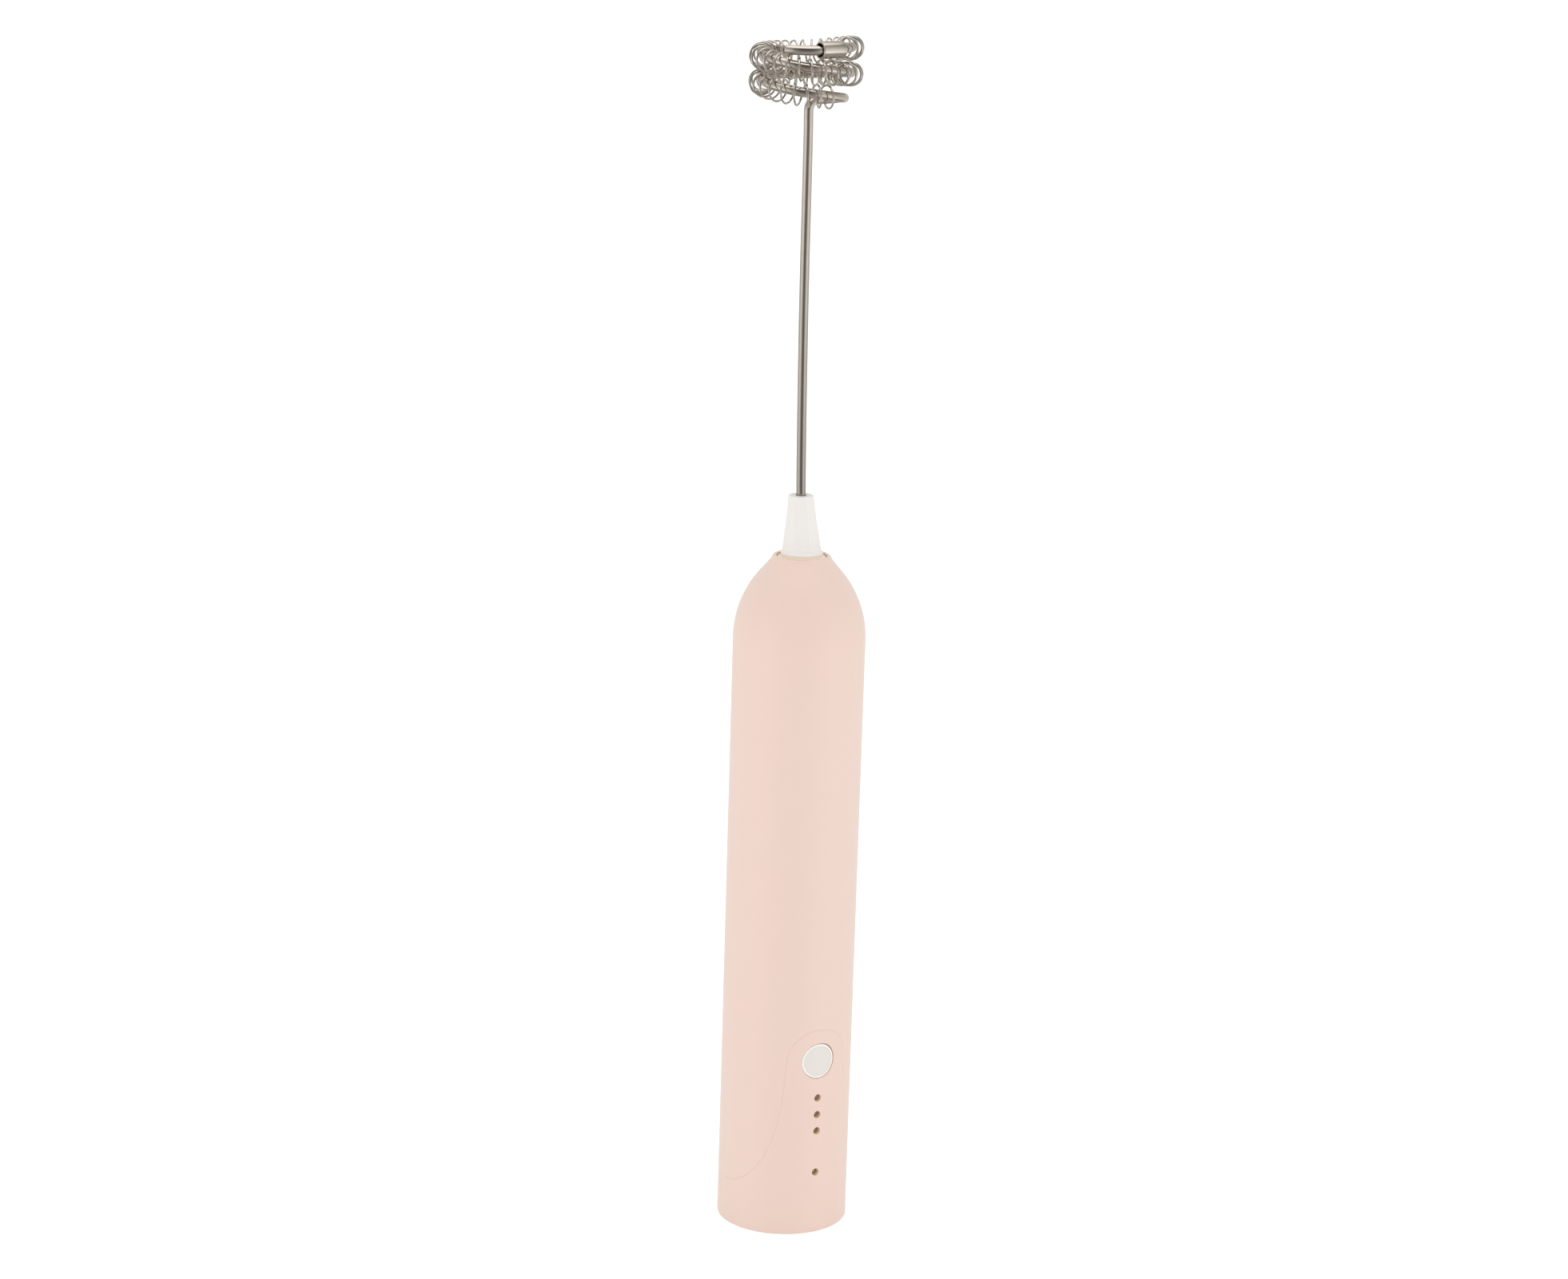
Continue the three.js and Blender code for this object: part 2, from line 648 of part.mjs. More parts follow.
// The small coils threaded round the ring.
class SpringCurve extends THREE.Curve {
  getPoint(t, target = new THREE.Vector3()) {
    const [from, to] = SPRING_TURNS;
    const turn = from + t * (to - from);
    const along = ringPoint(turn + 0.5).sub(ringPoint(turn - 0.5)).normalize();
    const a = THREE.MathUtils.degToRad(turn);
    const out = new THREE.Vector3(Math.cos(a), -Math.sin(a), 0);
    const up = new THREE.Vector3().crossVectors(along, out).normalize();
    const phase = 2 * Math.PI * coilsUntil(turn);
    target
      .copy(ringPoint(turn))
      .addScaledVector(out, SPRING_R * Math.cos(phase))
      .addScaledVector(up, SPRING_R * Math.sin(phase));
    return target.setZ(target.z - byQuarter(SAGS, turn));
  }
}
const whiskSpring = () => wire(new SpringCurve(), SPRING_WIRE_R, 4, 54 * 8);

// Short tube crimped on the wire that keeps the spring on the ring.
function ferrule() {
  const along = (half, radius) => {
    const turns = [-1, -0.5, 0, 0.5, 1].map((k) => FERRULE_TURN + k * half);
    return wire(new WirePath(turns.map(ringPoint)), radius, 16, 8);
  };
  return cut(along(17.5, 1.8), along(22, 1.35));
}

// ---- assembly --------------------------------------------------------------------------------------------------------

const material = (color, roughness, metalness = 0, opacity = 1) =>
  new THREE.MeshStandardMaterial({ color, roughness, metalness, opacity, transparent: opacity < 1 });

const pinkPlastic = material(0xedd3c7, 0.45);
const whitePlastic = material(0xe9e4de, 0.4);
const framePlastic = material(0xd9dadc, 0.6);
const blackPlastic = material(0x1c1c1e, 0.5);
const clearPlastic = material(0xf3ede4, 0.2, 0, 0.6);
const steel = material(0xb8b0a8, 0.25, 1);
const nickel = material(0xc9c4b8, 0.35, 1);
const brass = material(0xc49a4a, 0.35, 1);
const copper = material(0xb5652d, 0.4, 1);
const ferrite = material(0x3a3a3d, 0.8);
const fibreglass = material(0x1f6b43, 0.5);
const cellWrap = material(0x2f6fb0, 0.35);
const rubber = material(0x8f8b88, 0.8);
const redInsulation = material(0xb3261e, 0.5);
const blackInsulation = material(0x232323, 0.5);
const ledLens = material(0xf7f3d8, 0.25);

const frother = new THREE.Group();
const driven = new THREE.Group(); // what turns with the whisk
driven.rotation.z = THREE.MathUtils.degToRad(WHISK_YAW);
frother.add(driven);

function add(group, name, made, finish) {
  const mesh = new THREE.Mesh(geometryOf(made), finish);
  mesh.name = name;
  group.add(mesh);
}

add(frother, "upper_shell", upperShell(), pinkPlastic);
add(frother, "base_cap", baseCap(), pinkPlastic);
add(frother, "chassis", chassis(), framePlastic);
add(frother, "motor_retainer", motorRetainer(), framePlastic);
add(frother, "button", button(), whitePlastic);
add(frother, "light_guide", lightGuide(), clearPlastic);

add(frother, "circuit_board", circuitBoard(), fibreglass);
add(frother, "switch_body", switchBody(), blackPlastic);
add(frother, "switch_plunger", switchPlunger(), blackPlastic);
add(frother, "motor_driver_chip", chip(-5, 33.5, 4, 5, 1.4), blackPlastic);
add(frother, "charge_chip", chip(5, 13, 3, 3, 1), blackPlastic);
add(frother, "inductor", chip(5.4, 33, 4, 4, 2), ferrite);
add(frother, "usb_shell", usbShell(), steel);
add(frother, "usb_tongue", usbTongue(), blackPlastic);
for (const [name, z] of Object.entries(LED_ZS)) add(frother, name, led(z), ledLens);

add(frother, "battery_cell", cell(), cellWrap);
add(frother, "positive_tab", cellTab(CELL_Z + CELL_LENGTH + SLACK, 1), nickel);
add(frother, "negative_tab", cellTab(CELL_Z - SLACK, -1), nickel);
add(frother, "battery_lead_positive", batteryLeadPositive(), redInsulation);
add(frother, "battery_lead_negative", batteryLeadNegative(), blackInsulation);
add(frother, "motor_lead_positive", motorLead(-1), redInsulation);
add(frother, "motor_lead_negative", motorLead(1), blackInsulation);

add(frother, "motor_can", motorCan(), steel);
add(frother, "motor_end_cap", motorEndCap(), whitePlastic);
add(frother, "front_bush", frontBush(), brass);
add(frother, "rear_bush", rearBush(), brass);
add(frother, "shaft_seal", shaftSeal(), rubber);
for (const [word, side] of [["left", -1], ["right", 1]]) {
  add(frother, `board_screw_${word}`, boardScrew(side), steel);
  add(frother, `motor_terminal_${word}`, motorTerminal(side), brass);
  add(frother, `motor_magnet_${word}`, magnet(side), ferrite);
}

add(frother, "motor_shaft", motorShaft(), steel);
add(frother, "armature_core", armature(), ferrite);
["a", "b", "c"].forEach((word, i) => add(frother, `winding_${word}`, winding(120 * i), copper));
add(frother, "commutator", commutator(), copper);

add(driven, "drive_coupler", driveCoupler(), brass);
add(driven, "whisk_cone", whiskCone(), whitePlastic);
add(driven, "whisk_shaft", whiskShaft(), steel);
add(driven, "whisk_spring", whiskSpring(), steel);
add(driven, "spring_ferrule", ferrule(), steel);

export default frother;
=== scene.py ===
"""Milk frother: the looks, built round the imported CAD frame.

Metres, in the frame of the CAD: +Z up, the flat end of the handle on z = 0, the control panel on -Y.
The outer shells, the button and the whisk head are replaced by finer meshes. The pieces inside the
handle keep their CAD shapes and get their own materials.
"""

import json
import math

import bmesh
import bpy
import numpy as np
from mathutils import Matrix, Vector
from mathutils.geometry import delaunay_2d_cdt


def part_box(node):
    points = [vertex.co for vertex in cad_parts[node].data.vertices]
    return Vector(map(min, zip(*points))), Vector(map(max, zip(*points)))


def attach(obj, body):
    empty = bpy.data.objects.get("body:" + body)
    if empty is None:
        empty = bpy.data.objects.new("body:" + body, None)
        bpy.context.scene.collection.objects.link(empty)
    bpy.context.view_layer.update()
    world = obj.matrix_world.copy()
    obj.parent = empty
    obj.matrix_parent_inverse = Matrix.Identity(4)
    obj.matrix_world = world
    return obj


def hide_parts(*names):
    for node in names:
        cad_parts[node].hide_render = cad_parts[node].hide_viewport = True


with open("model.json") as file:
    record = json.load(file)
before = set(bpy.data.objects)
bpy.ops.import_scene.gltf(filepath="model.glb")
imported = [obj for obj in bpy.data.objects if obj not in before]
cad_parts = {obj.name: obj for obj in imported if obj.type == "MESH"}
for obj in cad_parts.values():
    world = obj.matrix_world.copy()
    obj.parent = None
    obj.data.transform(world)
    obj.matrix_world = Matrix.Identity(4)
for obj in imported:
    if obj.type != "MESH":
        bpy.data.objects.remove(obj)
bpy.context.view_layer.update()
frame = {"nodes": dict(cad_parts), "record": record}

MM = 0.001

# ---- camera --------------------------------------------------------------------------------------

CAMERA_AZIMUTH = math.radians(-30.5)  # where the camera stands, turned from -Y about the handle
CAMERA_DISTANCE = 787 * MM
CAMERA_HEIGHT = 333.3 * MM
CAMERA_PITCH = math.radians(14.56)  # looking down
CAMERA_PAN = math.radians(-0.232)
CAMERA_ROLL = math.radians(1.75)
LENS = 88.55
SENSOR = 36.0


def make_camera():
    turn = Matrix.Rotation(CAMERA_AZIMUTH, 3, "Z")
    ahead = Vector((math.sin(CAMERA_PAN), math.cos(CAMERA_PAN), 0)) * math.cos(CAMERA_PITCH)
    ahead.z = -math.sin(CAMERA_PITCH)
    level = Vector((math.cos(CAMERA_PAN), -math.sin(CAMERA_PAN), 0))
    upright = level.cross(ahead)
    right = level * math.cos(CAMERA_ROLL) + upright * math.sin(CAMERA_ROLL)
    up = upright * math.cos(CAMERA_ROLL) - level * math.sin(CAMERA_ROLL)
    axes = Matrix([turn @ right, turn @ up, turn @ -ahead]).transposed()
    data = bpy.data.cameras.new("camera")
    data.lens = LENS
    data.sensor_width = SENSOR
    data.clip_start = 0.01
    data.clip_end = 50
    camera = bpy.data.objects.new("camera", data)
    place = turn @ Vector((0, -CAMERA_DISTANCE, CAMERA_HEIGHT))
    camera.matrix_world = Matrix.Translation(place) @ axes.to_4x4()
    bpy.context.collection.objects.link(camera)
    bpy.context.scene.camera = camera


make_camera()

# ---- sizes: from the frame where it has them, and the rest as the CAD names them -----------------

BODY_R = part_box("base_cap")[1].x
NECK_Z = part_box("upper_shell")[1].z
CONE_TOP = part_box("whisk_cone")[1].z
CONE_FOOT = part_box("whisk_cone")[0].z
CONE_Z = 147.75 * MM  # underside of the cone's flange
BUTTON_Z = (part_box("button")[0].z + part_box("button")[1].z) / 2
LED_ZS = [
    (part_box(node)[0].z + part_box(node)[1].z) / 2
    for node in ("speed_led_high", "speed_led_medium", "speed_led_low", "charge_led")
]
USB_LOW, USB_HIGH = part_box("usb_shell")

WALL = 1.7 * MM
NECK_R = 6 * MM
WELL_R = 5.3 * MM
WELL_Z = 138.6 * MM
SEAL_HOLE_R = 2.6 * MM
SHOULDER_Z = 129.5 * MM
SHOULDER_ARC = 21.9 * MM
PANEL_R = 7 * MM
SKIRT_Z = 9.6 * MM
BUTTON_R = 3.85 * MM
BUTTON_HOLE_R = 3.94 * MM
BUTTON_SAG = (-0.03 * MM, -0.05 * MM)  # how far the button hangs off the middle of its hole
LED_HOLE_R = 0.8 * MM
SEAM_HALF = 0.002 * MM  # half the width of the visible seam
EDGE = 0.05 * MM  # rounding of the moulded edges along it

# Turns round the ring are in degrees, clockwise from the camera's right, and its heights in millimetres.
WIRE_R = 1 * MM
RING_R = 9.2 * MM
RING_X = -2.24 * MM
RING_RUN_IN = 1.7 * MM  # how much narrower the ring starts
RING_RUN_IN_TURN = 28
LEVELS = (243.1, 244.95, 246.7, 246.8, 248.25, 250.05, 251.85, 251.5, 253.45, 253.35, 253.35)
SAGS = (-0.2, 0.45, 0.8, 0.3, 0.3, 0.6, 0.7, 0.2, 0.15, 0.1, 0.1)  # of the coils, below the ring
CROOK = -0.043  # the head sits a little crooked: how far it goes to the left, per height above the neck
TIP_TURN = 835.0
SPRING_TURNS = (53.0, 749.0)
SPRING_R = 2.3 * MM
SPRING_WIRE_R = 0.225 * MM
SPRING_STEPS = 1400
COIL_START = 0.365  # of a coil
COILS_PER_DEGREE = 0.0758
BACK_COILS = 0.25  # how many coils the back gains from the front
UPPER_COILS_PER_DEGREE = 0.0029  # what the upper round adds
UPPER_TURN = 443.5
FERRULE_TURN = 776.0
WHISK_YAW = CAMERA_AZIMUTH

COLUMNS = 192  # sides of the handle
GRID = 0.9 * MM  # triangle size where an outline is cut out of the wall
AXIS = 1e-6  # radius of a turned profile at its axis, and of a rounded tip at its end


# ---- mesh tools ----------------------------------------------------------------------------------


def round_turn(count):
    """Even angles once round."""
    return 2 * math.pi * np.arange(count) / count


def quads(rows, count, closed=True):
    """Faces between rows of points, count to a row, numbered row by row."""
    last = count if closed else count - 1
    return [
        (low + i, low + (i + 1) % count, low + count + (i + 1) % count, low + count + i)
        for low in range(0, (rows - 1) * count, count)
        for i in range(last)
    ]


class Patches:
    """Patches of faces that are welded where their borders meet."""

    def __init__(self):
        self.points = []
        self.faces = []

    def add(self, points, faces):
        start = len(self.points)
        self.points.extend(tuple(p) for p in points)
        self.faces.extend(tuple(start + i for i in face) for face in faces)

    def loft(self, rows, closed=True):
        """Quads between rows of points that all have the same length."""
        self.add([p for row in rows for p in row], quads(len(rows), len(rows[0]), closed))

    def cap(self, row):
        """A fan that closes one row."""
        centre = np.mean(np.array(row), axis=0)
        count = len(row)
        self.add([*row, centre], [(i, (i + 1) % count, count) for i in range(count)])

    def build(self, name, body, material, replaced, slot, crease=40, weld=1e-6):
        mesh = bpy.data.meshes.new(name)
        mesh.from_pydata([tuple(map(float, p)) for p in self.points], [], self.faces)
        work = bmesh.new()
        work.from_mesh(mesh)
        bmesh.ops.remove_doubles(work, verts=work.verts, dist=weld)
        bmesh.ops.dissolve_degenerate(work, edges=work.edges, dist=weld / 10)
        bmesh.ops.recalc_face_normals(work, faces=work.faces)
        work.to_mesh(mesh)
        work.free()
        return finish_piece(name, mesh, body, material, replaced, crease)


def finish_piece(name, mesh, body, material, replaced, crease):
    mesh.shade_smooth()
    mesh.set_sharp_from_angle(angle=math.radians(crease))
    mesh.materials.append(material)
    piece = bpy.data.objects.new(name, mesh)
    bpy.context.collection.objects.link(piece)
    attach(piece, body)
    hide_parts(*replaced)
    return piece


def circle(radius, z):
    turn = round_turn(COLUMNS)
    return np.column_stack([radius * np.sin(turn), -radius * np.cos(turn), np.full(COLUMNS, z)])


def fillet(start, corner, end, steps=6):
    """Points of a smooth corner between two profile points, as a quadratic curve."""
    t = np.linspace(0, 1, steps + 1)[:, None]
    start, corner, end = np.array(start), np.array(corner), np.array(end)
    return (1 - t) ** 2 * start + 2 * t * (1 - t) * corner + t**2 * end


def rounded_profile(corners):
    """A profile of (radius, height, rounding) corners as points, with each corner rounded."""
    points = [np.array(corners[0][:2])]
    for before, here, after in zip(corners, corners[1:], corners[2:]):
        at = np.array(here[:2])
        back = np.array(before[:2]) - at
        on = np.array(after[:2]) - at
        reach = min(here[2], 0.45 * np.linalg.norm(back), 0.45 * np.linalg.norm(on))
        if reach < 1e-7:
            points.append(at)
            continue
        start = at + back / np.linalg.norm(back) * reach
        end = at + on / np.linalg.norm(on) * reach
        points.extend(fillet(start, at, end))
    points.append(np.array(corners[-1][:2]))
    return points


def sweep(path, radius, sides, start_round=0.0, end_round=0.0):
    """Rings of points round a path, without twist. The ends can be drawn in to a rounded tip."""
    path = np.array(path, float)
    tangents = np.gradient(path, axis=0)
    tangents /= np.linalg.norm(tangents, axis=1)[:, None]
    side = np.cross(tangents[0], (0.0, 0.0, 1.0))
    if np.linalg.norm(side) < 0.1:
        side = np.cross(tangents[0], (0.0, 1.0, 0.0))
    side /= np.linalg.norm(side)
    turn = round_turn(sides)
    rows = []
    for at, tangent in zip(path, tangents):
        side = side - tangent * np.dot(side, tangent)
        side /= np.linalg.norm(side)
        other = np.cross(tangent, side)
        rows.append((at, tangent, np.outer(np.cos(turn), side) + np.outer(np.sin(turn), other)))
    rings = []
    steps = np.linspace(math.pi / 2, 0, 6)[:-1]
    if start_round:
        at, tangent, around = rows[0]
        for a in steps:
            back = tangent * start_round * math.sin(a)
            rings.append(at - back + around * (radius * math.cos(a) + AXIS))
    rings.extend(at + around * radius for at, tangent, around in rows)
    if end_round:
        at, tangent, around = rows[-1]
        for a in steps[::-1]:
            on = tangent * end_round * math.sin(a)
            rings.append(at + on + around * (radius * math.cos(a) + AXIS))
    return rings


def solid_sweep(path, radius, sides, start_round=0.0, end_round=0.0):
    patches = Patches()
    rings = sweep(path, radius, sides, start_round, end_round)
    patches.loft(rings)
    patches.cap(rings[0])
    patches.cap(rings[-1])
    return patches


def smooth_path(points, per_span):
    """A centripetal Catmull-Rom curve through the points."""
    points = [np.array(p, float) for p in points]
    points = [2 * points[0] - points[1], *points, 2 * points[-1] - points[-2]]
    out = []
    for a, b, c, d in zip(points, points[1:], points[2:], points[3:]):
        t0 = 0.0
        t1 = t0 + math.sqrt(np.linalg.norm(b - a))
        t2 = t1 + math.sqrt(np.linalg.norm(c - b))
        t3 = t2 + math.sqrt(np.linalg.norm(d - c))
        for t in np.linspace(t1, t2, per_span, endpoint=False):
            ab = (t1 - t) / (t1 - t0) * a + (t - t0) / (t1 - t0) * b
            bc = (t2 - t) / (t2 - t1) * b + (t - t1) / (t2 - t1) * c
            cd = (t3 - t) / (t3 - t2) * c + (t - t2) / (t3 - t2) * d
            abc = (t2 - t) / (t2 - t0) * ab + (t - t0) / (t2 - t0) * bc
            bcd = (t3 - t) / (t3 - t1) * bc + (t - t1) / (t3 - t1) * cd
            out.append((t2 - t) / (t2 - t1) * abc + (t - t1) / (t2 - t1) * bcd)
    out.append(points[-2])
    return out


# ---- the wall of the handle, unrolled ------------------------------------------------------------

SEAM_LEVEL = 24 * MM  # how far round from the front the seam starts to run level


def bezier(a, b, c, d, steps):
    """A cubic Bezier curve, without its last point."""
    t = np.linspace(0, 1, steps, endpoint=False)[:, None]
    return (1 - t) ** 3 * a + 3 * t * (1 - t) ** 2 * b + 3 * t**2 * (1 - t) * c + t**3 * d


def seam(offset, count=260):
    """The seam between the shells, moved up or out by offset, from the back round the front.

    Points are (distance round the handle from the front, height)."""
    reach = BODY_R * math.asin(PANEL_R / BODY_R)
    turn = np.linspace(0, math.pi / 2, 80, endpoint=False)[:, None]
    arch = np.hstack([reach * np.sin(turn), BUTTON_Z + PANEL_R * np.cos(turn)])
    flank = bezier(
        np.array([reach, BUTTON_Z]),
        np.array([reach + 0.6 * MM, 22 * MM]),
        np.array([12 * MM, 10 * MM]),
        np.array([SEAM_LEVEL, SKIRT_Z]),
        160,
    )
    back = np.array([[s, SKIRT_Z] for s in np.linspace(SEAM_LEVEL, math.pi * BODY_R, 40)])
    line = np.vstack([arch, flank, back])
    length = np.concatenate([[0], np.cumsum(np.linalg.norm(np.diff(line, axis=0), axis=1))])
    even = np.linspace(0, length[-1], count)
    half = np.column_stack([np.interp(even, length, line[:, 0]), np.interp(even, length, line[:, 1])])
    along = np.gradient(half, axis=0)
    along /= np.linalg.norm(along, axis=1)[:, None]
    along[0] = along[-1] = (1, 0)
    moved = half + np.column_stack([-along[:, 1], along[:, 0]]) * offset
    moved[0, 0] = 0
    moved[-1, 0] = math.pi * BODY_R
    left = moved[1:] * (-1, 1)
    return np.vstack([left[::-1], moved])


def wrap(flat, depth=0.0):
    """Unrolled points on the handle, depth below its surface."""
    flat = np.asarray(flat)
    turn = flat[:, 0] / BODY_R
    r = BODY_R - depth
    return np.column_stack([r * np.sin(turn), -r * np.cos(turn), flat[:, 1]])


def bore(radius, z, depth, count=72):
    """A round hole drilled along Y: its edge at a depth below the curved surface."""
    turn = round_turn(count)
    x = radius * np.cos(turn)
    return np.column_stack([x, -np.sqrt(BODY_R**2 - x**2) + depth, z + radius * np.sin(turn)])


def unroll(points):
    return np.column_stack([BODY_R * np.arctan2(points[:, 0], -points[:, 1]), points[:, 2]])


def inside(points, loop):
    """True for each point that lies inside a closed loop."""
    x, y = points[:, 0][:, None], points[:, 1][:, None]
    ax, ay = loop[:, 0], loop[:, 1]
    bx, by = np.roll(ax, -1), np.roll(ay, -1)
    crosses = (ay > y) != (by > y)
    with np.errstate(divide="ignore", invalid="ignore"):
        at = (bx - ax) * (y - ay) / (by - ay) + ax
    return (np.sum(crosses & (x < at), axis=1) % 2) == 1


def fill(outline, holes, spacing):
    """Even triangles inside an outline and outside its holes: (points, triangles)."""
    loops = [outline, *holes]
    low, high = outline.min(0), outline.max(0)
    rows = np.arange(low[1] + spacing / 2, high[1], spacing * math.sqrt(3) / 2)
    grid = np.array(
        [
            (x + (spacing / 2 if k % 2 else 0), y)
            for k, y in enumerate(rows)
            for x in np.arange(low[0] + spacing / 4, high[0], spacing)
        ]
    )
    keep = inside(grid, outline)
    for hole in holes:
        keep &= ~inside(grid, hole)
    border = np.vstack(loops)
    grid = grid[keep]
    near = np.array([np.min(np.sum((border - p) ** 2, axis=1)) for p in grid])
    grid = grid[near > (0.45 * spacing) ** 2]
    points = np.vstack([border, grid])
    edges = []
    start = 0
    for loop in loops:
        count = len(loop)
        edges.extend((start + i, start + (i + 1) % count) for i in range(count))
        start += count
    scaled = [Vector(p / MM) for p in points]
    verts, _, faces, *_ = delaunay_2d_cdt(scaled, edges, [], 0, 1e-7)
    verts = np.array([tuple(v) for v in verts]) * MM
    faces = np.array([f for f in faces if len(f) == 3])
    middle = verts[faces].mean(axis=1)
    keep = inside(middle, outline)
    for hole in holes:
        keep &= ~inside(middle, hole)
    return verts, [tuple(f) for f in faces[keep]]


def edge_steps(rounding, steps=5):
    """(distance from the edge, depth) along the quarter round of an edge, from the surface in."""
    turn = np.linspace(0, math.pi / 2, steps + 1)
    return [(rounding * (1 - math.sin(a)), rounding * (1 - math.cos(a))) for a in turn]


def level_line(z):
    """A level line once round the unrolled wall, from the right to the left."""
    along = np.linspace(-math.pi * BODY_R, math.pi * BODY_R, COLUMNS + 1)[::-1]
    return np.column_stack([along, np.full(COLUMNS + 1, z)])


def seam_edge(side):
    """The rounded edge along the seam: side is 1 for the shell above it, -1 for the cap below it."""
    rows = [wrap(seam(side * (SEAM_HALF + far)), depth) for far, depth in edge_steps(EDGE)]
    return [*rows, wrap(seam(side * SEAM_HALF), WALL)]


# ---- shells --------------------------------------------------------------------------------------

SHELL_JOIN = 52 * MM  # where the cut-out stretch of the upper shell meets the plain tube
SHOULDER_TOP = 144.4 * MM
NECK_FOOT = (6.45 * MM, 146.5 * MM)  # radius and height where the neck rises from the shoulder
WELL_WALL = 1.2 * MM
WELL_FLOOR = 1.4 * MM
WELL_ROOT_Z = 141.6 * MM  # where the well's wall meets the inside of the shoulder
INNER_SHOULDER_Z = 140.2 * MM


def shoulder_radius(z):
    return BODY_R - SHOULDER_ARC + math.sqrt(SHOULDER_ARC**2 - (z - SHOULDER_Z) ** 2)


def upper_shell(material):
    patches = Patches()
    for depth, offset in ((0, SEAM_HALF + EDGE), (WALL, SEAM_HALF)):
        points, faces = fill(np.vstack([seam(offset), level_line(SHELL_JOIN)]), [], GRID)
        patches.add(wrap(points, depth), faces)
    patches.loft(seam_edge(1), closed=False)

    shoulder = [(shoulder_radius(z), z) for z in np.linspace(SHOULDER_Z, SHOULDER_TOP, 36)]
    tube = [(BODY_R, z) for z in np.linspace(SHELL_JOIN, SHOULDER_Z, 14)[:-1]]
    lip = rounded_profile(
        [
            (*shoulder[-2], 0),
            (*shoulder[-1], 0.8 * MM),
            (*NECK_FOOT, 1.2 * MM),
            (NECK_R, NECK_Z, 0.2 * MM),
            (WELL_R, NECK_Z, 0.16 * MM),
            (WELL_R, WELL_Z, 0.2 * MM),
            (SEAL_HOLE_R, WELL_Z, 0.1 * MM),
            (SEAL_HOLE_R, WELL_Z - WELL_FLOOR, 0.1 * MM),
            (WELL_R + WELL_WALL, WELL_Z - WELL_FLOOR, 0),
            (WELL_R + WELL_WALL, WELL_ROOT_Z, 0),
        ]
    )
    heights = np.linspace(INNER_SHOULDER_Z, SHOULDER_Z, 16)
    under = [(shoulder_radius(z) - WALL, z - 0.6 * MM) for z in heights]
    down = [(BODY_R - WALL, z) for z in np.linspace(SHOULDER_Z - 1.5 * MM, SHELL_JOIN, 12)]
    profile = [*tube, *shoulder[:-2], *lip, *under, *down]
    patches.loft([circle(r, z) for r, z in profile])
    return patches.build("upper_shell_skin", "handle", material, ["upper_shell"], "shell_pink")


FOOT_EDGE = 0.55 * MM
FOOT_RECESS_R = 11.5 * MM
FOOT_RECESS = 0.5 * MM
FOOT_LEDGE_R = FOOT_RECESS_R - 0.8 * MM  # where the recess is already flat
FLOOR_Z = 2.2 * MM
SLOT_GAP = 0.25 * MM
SLOT_EDGE = 0.12 * MM
BUTTON_HOLE_EDGE = 0.14 * MM
LED_HOLE_EDGE = 0.06 * MM


def slot_outline(grow, z, count=16):
    """Outline of the charging socket's opening, made bigger by grow."""
    middle = (USB_LOW + USB_HIGH) / 2
    half_depth = (USB_HIGH.y - USB_LOW.y) / 2 + SLOT_GAP + grow
    straight = (USB_HIGH.x - USB_LOW.x) / 2 + SLOT_GAP + grow - half_depth
    turn = np.linspace(-math.pi / 2, math.pi / 2, count)
    right = np.column_stack([straight + half_depth * np.cos(turn), half_depth * np.sin(turn)])
    both = np.vstack([right, -right])
    return np.column_stack([both[:, 0] + middle.x, both[:, 1] + middle.y, np.full(len(both), z)])


def panel_wall(patches):
    """The round wall with its panel, the seam's edge, and the holes for the button and the lights."""
    lights = [(LED_HOLE_R, z, LED_HOLE_EDGE) for z in LED_ZS]
    bores = [(BUTTON_HOLE_R, BUTTON_Z, BUTTON_HOLE_EDGE), *lights]
    for depth, offset, foot in ((0, -SEAM_HALF - EDGE, FOOT_EDGE), (WALL, -SEAM_HALF, FLOOR_Z)):
        holes = [unroll(bore(r + (0 if depth else edge), z, depth)) for r, z, edge in bores]
        points, faces = fill(np.vstack([seam(offset), level_line(foot)]), holes, GRID)
        patches.add(wrap(points, depth), faces)
    patches.loft(seam_edge(-1), closed=False)
    for r, z, edge in bores:
        rows = [bore(r + far, z, depth) for far, depth in edge_steps(edge)]
        rows.append(wrap(unroll(bore(r, z, WALL)), WALL))
        patches.loft(rows)


def flat_end(patches):
    """The foot ring, the recess inside it, and the slot for the charging socket."""
    profile = rounded_profile(
        [
            (BODY_R, FOOT_EDGE, 0),
            (BODY_R, FOOT_EDGE * 0.9, 0),
            (BODY_R, 0, FOOT_EDGE),
            (FOOT_RECESS_R, 0, 0.12 * MM),
            (FOOT_RECESS_R, FOOT_RECESS, 0.12 * MM),
            (FOOT_LEDGE_R, FOOT_RECESS, 0),
        ]
    )
    patches.loft([circle(r, z) for r, z in profile])
    for radius, z, grow in ((FOOT_LEDGE_R, FOOT_RECESS, SLOT_EDGE), (BODY_R - WALL, FLOOR_Z, 0)):
        rim = circle(radius, z)[:, :2]
        points, faces = fill(rim, [slot_outline(grow, z)[:, :2]], GRID)
        patches.add(np.column_stack([points, np.full(len(points), z)]), faces)
    rows = [slot_outline(far, FOOT_RECESS + depth) for far, depth in edge_steps(SLOT_EDGE)]
    patches.loft([*rows, slot_outline(0, FLOOR_Z)])


def base_cap(material):
    patches = Patches()
    panel_wall(patches)
    flat_end(patches)
    return patches.build("base_cap_skin", "handle", material, ["base_cap"], "shell_pink")


# ---- button --------------------------------------------------------------------------------------

